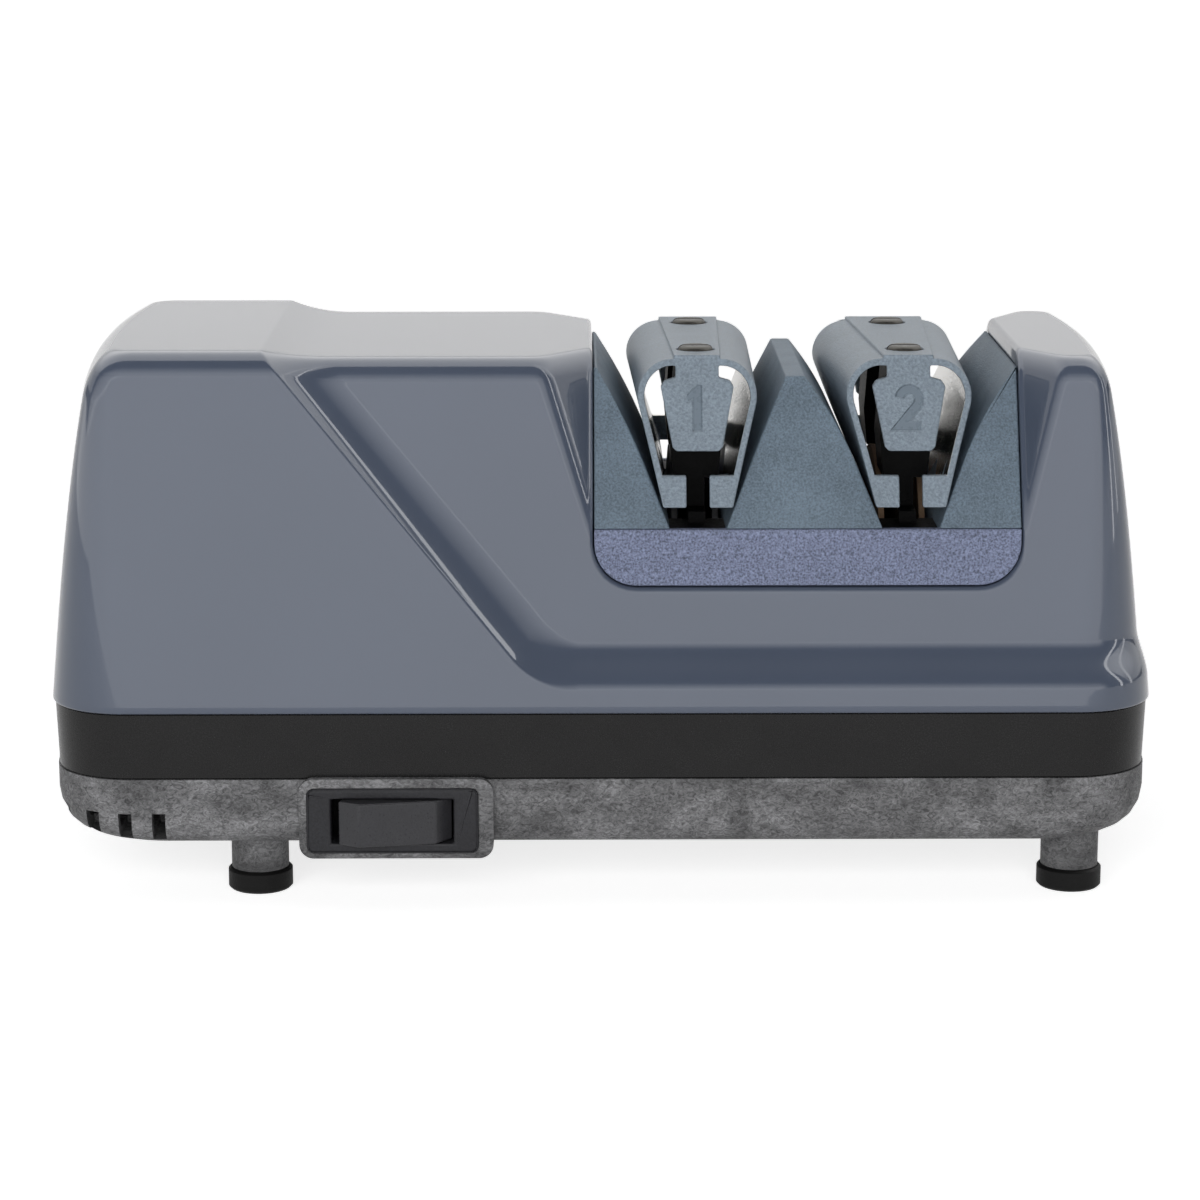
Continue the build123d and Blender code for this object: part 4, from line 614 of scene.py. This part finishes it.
def rim_strip(edge, inner, inward, opening, radius, wall):
    """A rounded rim and a wall behind it, along an edge of the case.

    From each edge point a curve leaves along the surface (away from inner) and turns into the
    inward direction; it ends in a straight wall. opening is the unit direction across the opening.
    """
    leaving = edge - inner
    leaving /= np.linalg.norm(leaving, axis=-1, keepdims=True)
    end = edge + radius * (opening + inward)
    bend = 0.55 * radius      # handles this long make a cubic nearly a quarter-round
    controls = [edge, edge + bend * leaving, end - bend * inward, end]
    t = span(0, 1, 6)[:, None, None]
    weights = [(1 - t)**3, 3 * t * (1 - t)**2, 3 * t**2 * (1 - t), t**3]
    curve = sum(weight * control for weight, control in zip(weights, controls))
    return np.concatenate([curve, (end + wall * inward)[None]])


def upper_housing():
    """The case: its front half mirrored, and the rims and walls of the window and lever slot."""
    points, turn, above, left, right = case_grid()
    rows, columns = points.shape[:2]
    keep = np.ones((rows - 1, columns - 1), bool)
    keep[above:, left:right] = False
    rear_keep = keep.copy()
    z = points[:, left + 3, 2]
    x = points[above, :, 0]
    slot_rows = [int(np.argmin(abs(z[:above] - LEVER_SLOT_Z[0] + LEVER_RIM))),
                 int(np.argmin(abs(z[:above] - LEVER_SLOT_Z[1] - LEVER_RIM)))]
    slot_half = LEVER_SLOT_HALF + LEVER_RIM
    slot_columns = [int(np.argmin(abs(x - LEVER_X - side * slot_half))) for side in (-1, 1)]
    rear_keep[slot_rows[0]:slot_rows[1], slot_columns[0]:slot_columns[1]] = False

    inward = np.stack([0 * turn[:, 0], np.cos(turn[:, 0]), -np.sin(turn[:, 0])], axis=-1)
    level = np.array([0.0, 1.0, 0.0])
    strips = []
    for column, neighbour, side in ((left, left - 1, 1), (right, right + 1, -1)):
        edge, inner = points[above:, column], points[above:, neighbour]
        opening = window_facing(edge, side)
        strip = rim_strip(edge, inner, inward[above:], opening, RIM, WINDOW_WALL)
        strips.append((strip, side > 0))
    sill, inner = points[above, left:right + 1], points[above - 1, left:right + 1]
    strip = rim_strip(sill, inner, level, window_facing(sill, 0), RIM, SILL_WALL)
    strips.append((strip, False))

    grids = [(points, keep, False), (mirrored(points), rear_keep, True)]
    for strip, flip in strips:
        grids += [(strip, None, flip), (mirrored(strip), None, not flip)]
    grids += lever_slot_rims(mirrored(points), slot_rows, slot_columns)
    piece("upper_housing_shell", grids, slate_gloss, replaces=("upper_housing",))


def window_facing(edge, side):
    """Unit directions from the window's edge across its opening.

    They are level at the sides, upright at the sill, and point to the centre at a round corner.
    """
    reach = WINDOW_CORNER + RIM
    left_centre = WINDOW_LEFT + WINDOW_CORNER
    right_centre = WINDOW_RIGHT - WINDOW_CORNER
    centre = np.clip(edge[:, 0], left_centre, right_centre)
    rise = np.clip((WINDOW_FLOOR + WINDOW_CORNER - edge[:, 2]) / reach, 0.0, 1.0)
    across = np.clip((centre - edge[:, 0]) / reach, -1.0, 1.0)
    if side:
        across = np.where(edge[:, 2] > WINDOW_FLOOR + WINDOW_CORNER, side, across)
    directions = np.stack([across, 0 * across, rise], axis=-1)
    return directions / np.linalg.norm(directions, axis=-1, keepdims=True)


def lever_slot_rims(points, rows, columns):
    """Rims of the slot in the rear face that the dressing lever swings in."""
    low, high = rows
    first, last = columns
    inward = np.array([0.0, -1.0, 0.0])
    sides = [
        (points[low, first:last + 1], points[low - 1, first:last + 1], (0, 0, 1), True),
        (points[high, first:last + 1], points[high + 1, first:last + 1], (0, 0, -1), False),
        (points[low:high + 1, first], points[low:high + 1, first - 1], (1, 0, 0), False),
        (points[low:high + 1, last], points[low:high + 1, last + 1], (-1, 0, 0), True)]
    return [(rim_strip(edge, inner, inward, np.array(opening, float), LEVER_RIM, CASE_WALL),
             None, flip) for edge, inner, opening, flip in sides]


upper_housing()

# ---------------------------------------------------------------- CAD parts with softened edges
bodies = frame["record"]["behaviour"]["bodies"]
body_of = {node: body for body, nodes in bodies.items() for node in nodes}


def merged_copy(node):
    """A copy of a CAD part's mesh with its triangles joined and its flat faces made whole."""
    mesh = frame["nodes"][node].data.copy()
    mesh.name = node + "_form"
    shape = bmesh.new()
    shape.from_mesh(mesh)
    bmesh.ops.remove_doubles(shape, verts=shape.verts, dist=1e-6)
    bmesh.ops.dissolve_limit(shape, angle_limit=radians(0.4), verts=shape.verts, edges=shape.edges)
    shape.to_mesh(mesh)
    shape.free()
    return mesh


def softened(node, material, width, mesh=None, steps=2, sharpness=35.0):
    """Replace a CAD part by a copy whose edges, where sharper than an angle, are rounded."""
    thing = bpy.data.objects.new(node + "_soft", mesh or merged_copy(node))
    edges = thing.modifiers.new("edges", "BEVEL")
    edges.width = width * MM
    edges.segments = steps
    edges.limit_method = "ANGLE"
    edges.angle_limit = radians(sharpness)
    edges.use_clamp_overlap = False
    even = thing.modifiers.new("even", "WEIGHTED_NORMAL")
    even.keep_sharp = True
    return dress(thing, material, body_of[node], (node,), 45.0)


def guide_arch(node, stage):
    """A knife guide: its engraved digit is smooth, its inner walls are lined with bright metal.

    The digit's floor lies DIGIT_DEPTH behind the tab's face. The inner walls face the middle of
    the arch: their normal times their place, seen from there, is well below zero.
    """
    mesh = merged_copy(node)
    count = len(mesh.polygons)
    normal, centre = np.empty(count * 3), np.empty(count * 3)
    mesh.polygons.foreach_get("normal", normal)
    mesh.polygons.foreach_get("center", centre)
    normal, centre = normal.reshape(-1, 3), centre.reshape(-1, 3) / MM
    thing = softened(node, guide_grey, 0.3, mesh)
    offset = (normal * centre).sum(axis=1)
    high = centre[:, 2] > ARCH_WALLS_FROM
    front = (normal[:, 1] < -0.9) & (abs(centre[:, 0] - stage) < TAB_HALF) & high
    behind = offset[front].max() - offset
    digit = front & (behind > 0.5 * DIGIT_DEPTH) & (behind < 1.5 * DIGIT_DEPTH)
    from_middle = centre - np.array([stage, 0.0, ARCH_MIDDLE])
    towards = (normal * from_middle)[:, [0, 2]].sum(axis=1)
    lining = ((towards < -3.0) & (abs(normal[:, 1]) < 0.3) & high
              & (abs(from_middle[:, 0]) > LINER_FROM))
    thing.data.materials.append(digit_grey)
    thing.data.materials.append(polished_liner)
    thing.data.polygons.foreach_set("material_index", (digit + 2 * lining).astype(np.int32))


def disc_spring(node, stage, joints):
    """The coil between two discs, in two halves.

    The coil is cut at the stage's middle plane and its cut wires are closed.
    """
    for side, joint in zip((-1, 1), joints):
        shape = bmesh.new()
        shape.from_mesh(frame["nodes"][node].data)
        bmesh.ops.remove_doubles(shape, verts=shape.verts, dist=1e-6)
        bmesh.ops.bisect_plane(
            shape, geom=shape.verts[:] + shape.edges[:] + shape.faces[:],
            plane_co=(stage * MM, 0, 0), plane_no=(-side, 0, 0), clear_outer=True)
        bmesh.ops.holes_fill(shape, edges=[edge for edge in shape.edges if edge.is_boundary])
        mesh = bpy.data.meshes.new(node)
        shape.to_mesh(mesh)
        shape.free()
        half = bpy.data.objects.new(f"{node}_{'left' if side < 0 else 'right'}", mesh)
        dress(half, bright_steel, "rotor", (node,))
        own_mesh(half)


for node, width in (("stage_block", 0.3), ("sill_front", 0.3), ("sill_rear", 0.3),
                    ("switch_bezel", 0.5), ("trim_band", 0.25)):
    softened(node, finishes[slot_of[node]], width)
softened("rocker", rocker_charcoal, 0.35)
for number, stage in enumerate(STAGES, 1):
    guide_arch(f"guide_arch_{number}", stage)
disc_spring("disc_spring_1", STAGES[0], ("diamond_left_slide", "diamond_right_slide"))
disc_spring("disc_spring_2", STAGES[1], ("strop_left_slide", "strop_right_slide"))

# ---------------------------------------------------------------- CAD parts that keep their shape
for node, thing in frame["nodes"].items():
    material = finishes[slot_of[node]]
    if not thing.material_slots:
        thing.data.materials.append(material)
    for holder in thing.material_slots:
        holder.material = material


# ---------------------------------------------------------------- floor, light and camera
SKY = 0.30                # how strongly the studio's walls light the object
FRONT_FILL = 17.0         # the lamp in front, in watts
FLOOR_LIFT = 0.75         # added to the floor where it is seen, so that it is white
GLOSS_LIFT = 0.48         # and where it is mirrored
# the studio as the gloss shows it: light by rise over distance, in front
FRONT_SHADE = 0.05        # the front wall above its strip of light
FRONT_STRIP = 1.95
WALL_FOOT = -0.02         # the wall begins between this rise and the strip's
STRIP_RISE = (0.055, 1.0)     # the strip fades into the wall
STRIP_LEFT = (-2.4, -1.9)     # turns from the front between which the strip begins
STRIP_RIGHT = (0.7, 0.9)      # and ends
LINE_RISE = 0.13          # a thin bright slit in the wall, its half width and its light
LINE_HALF = 0.03
LINE_LIGHT = 2.6
SLIT_CORE = 0.6           # a slit has its full light over this share of its width
CEILING_RISE = (4.4, 5.4)     # the wall ends and the bright ceiling begins
CEILING_LIGHT = 2.3
BACK_RISE = (0.30, 0.62)      # behind, the light grows to the ceiling's between these sines
SIDE_TURN = (2.2, 2.6)        # turns between which the dark sides give way to the bright back
SIDE_BANDS = ((1.30, 0.05, 5.2), (1.65, 0.05, 3.4))   # slits at the right: turn, half width, light

FLOOR_FRONT, FLOOR_BACK = -900.0, 800.0
FLOOR_HALF_WIDTH = 1500.0
FLOOR_CURVE = 400.0       # radius of the curve from the floor into the backdrop
BACKDROP_TOP = 700.0


def seen_directly(nodes, links):
    """1 for rays from the camera, from a reflection or through glass; 0 for falling light."""
    path = nodes.new("ShaderNodeLightPath")
    total = path.outputs["Is Camera Ray"]
    for kind in ("Is Glossy Ray", "Is Transmission Ray"):
        add = nodes.new("ShaderNodeMath")
        add.use_clamp = True
        links.new(total, add.inputs[0])
        links.new(path.outputs[kind], add.inputs[1])
        total = add.outputs[0]
    return total


def floor():
    """A pale floor that curves up behind the object: a level run, a quarter-round, a wall."""
    run = span(FLOOR_FRONT, FLOOR_BACK, 24)
    flat = np.stack([0 * run, run, 0 * run], axis=-1)
    angle = span(0, np.pi / 2, 24)[1:]
    curve = np.stack([0 * angle, FLOOR_BACK + FLOOR_CURVE * np.sin(angle),
                      FLOOR_CURVE * (1 - np.cos(angle))], axis=-1)
    wall = np.array([[0, FLOOR_BACK + FLOOR_CURVE, BACKDROP_TOP]])
    profile = np.concatenate([flat, curve, wall])
    across = span(-FLOOR_HALF_WIDTH, FLOOR_HALF_WIDTH, 3)[:, None, None]
    points = profile[None] + across * np.array([1.0, 0.0, 0.0])
    mesh = bpy.data.meshes.new("floor")
    quads = grid_quads(*points.shape[:2], flip=True)
    mesh.from_pydata(points.reshape(-1, 3) * MM, [], quads.tolist())
    thing = bpy.data.objects.new("floor", mesh)
    bpy.context.scene.collection.objects.link(thing)
    mesh.polygons.foreach_set("use_smooth", [True] * len(mesh.polygons))
    material, nodes, links, shader = finish("floor white", (0.86, 0.86, 0.86), 0.9, specular=0.1)
    shader.inputs["Emission Color"].default_value = (1.0, 1.0, 1.0, 1.0)
    lift = spread(nodes, links, seen_directly(nodes, links), 0.0, GLOSS_LIFT, 0.0, 1.0)
    camera_ray = nodes.new("ShaderNodeLightPath").outputs["Is Camera Ray"]
    extra = reckon(nodes, links, "MULTIPLY", camera_ray, FLOOR_LIFT - GLOSS_LIFT)
    links.new(reckon(nodes, links, "ADD", lift, extra), shader.inputs["Emission Strength"])
    mesh.materials.append(material)


def aimed(thing, place_mm, aim_mm):
    """Link a lamp or camera, put it in its place and turn it towards a point."""
    place_mm, aim_mm = Vector(place_mm), Vector(aim_mm)
    thing.location = place_mm * MM
    thing.rotation_euler = (aim_mm - place_mm).to_track_quat("-Z", "Y").to_euler()
    bpy.context.scene.collection.objects.link(thing)


def lamp(name, place_mm, aim_mm, size_mm, power):
    """A soft rectangular lamp, aimed at a point; gloss doesn't show it."""
    light = bpy.data.lights.new(name, "AREA")
    light.shape = "RECTANGLE"
    light.size, light.size_y = size_mm[0] * MM, size_mm[1] * MM
    light.energy = power
    thing = bpy.data.objects.new(name, light)
    thing.visible_glossy = False
    aimed(thing, place_mm, aim_mm)


def world():
    """The studio: bright behind and overhead, and in front a strip of light that fades upwards.

    The wall and the strip go by the direction's rise over its distance in front, the sides and
    their upright slits by its turn from the front. The camera sees plain white, and the light
    that falls on the object is held to one level.
    """
    scene_world = bpy.data.worlds.new("studio")
    bpy.context.scene.world = scene_world
    scene_world.use_nodes = True
    nodes, links = scene_world.node_tree.nodes, scene_world.node_tree.links

    def work(operation, first, second=0.0):
        return reckon(nodes, links, operation, first, second)

    def ramp(value, low, high, ends):
        return spread(nodes, links, value, low, high, *ends)

    axes = nodes.new("ShaderNodeSeparateXYZ")
    links.new(nodes.new("ShaderNodeTexCoord").outputs["Generated"], axes.inputs[0])
    x, y, z = axes.outputs
    ahead = work("MULTIPLY", y, -1.0)
    rise = work("DIVIDE", z, work("MAXIMUM", ahead, 0.02))    # kept finite to the sides
    turn = work("ARCTAN2", x, ahead)
    aside = work("ABSOLUTE", turn)
    overhead = ramp(z, 1.0, CEILING_LIGHT, BACK_RISE)
    covered = work("MULTIPLY", ramp(rise, 1.0, 0.0, CEILING_RISE), ramp(aside, 1.0, 0.0, SIDE_TURN))
    covered = work("MULTIPLY", covered, ramp(rise, 0.0, 1.0, (WALL_FOOT, STRIP_RISE[0])))
    open_light = work("MULTIPLY", overhead, work("SUBTRACT", 1.0, covered))
    across = work("MULTIPLY", ramp(turn, 0.0, 1.0, STRIP_LEFT), ramp(turn, 1.0, 0.0, STRIP_RIGHT))
    strip = work("MULTIPLY", ramp(rise, 1.0, 0.0, STRIP_RISE), across)
    light = work("ADD", open_light, work("MULTIPLY", covered, FRONT_SHADE))
    light = work("MAXIMUM", light, work("MULTIPLY", strip, FRONT_STRIP))
    slit = work("ABSOLUTE", work("SUBTRACT", rise, LINE_RISE))
    slit = ramp(slit, LINE_LIGHT, 0.0, (SLIT_CORE * LINE_HALF, LINE_HALF))
    slit = work("MULTIPLY", slit, across)
    light = work("MAXIMUM", light, slit)
    for middle, half, band_light in SIDE_BANDS:
        off = work("ABSOLUTE", work("SUBTRACT", turn, middle))
        light = work("MAXIMUM", light, ramp(off, band_light, 0.0, (SLIT_CORE * half, half)))
    path = nodes.new("ShaderNodeLightPath")
    background = nodes["Background"]
    background.inputs["Color"].default_value = (1.0, 1.0, 1.0, 1.0)
    falling = work("MULTIPLY", work("MINIMUM", light, 1.0), SKY)
    seen = seen_directly(nodes, links)
    unseen = work("MULTIPLY", falling, work("SUBTRACT", 1.0, seen))
    light = work("ADD", work("MULTIPLY", light, seen), unseen)
    links.new(work("MAXIMUM", light, path.outputs["Is Camera Ray"]), background.inputs["Strength"])


def camera():
    """The viewing angle: from the front, a little to the left and above."""
    data = bpy.data.cameras.new("view")
    data.lens = 102.0
    data.sensor_width = 36.0
    data.clip_end = 20.0
    thing = bpy.data.objects.new("view", data)
    aimed(thing, (-6.37, -730.24, 215.5), (0.0, 0.0, 53.6))
    bpy.context.scene.camera = thing


floor()
world()
lamp("front fill", (-200, -1500, 500), (0, 0, 60), (1500, 1000), FRONT_FILL)
camera()
bpy.context.scene.view_settings.view_transform = "Standard"
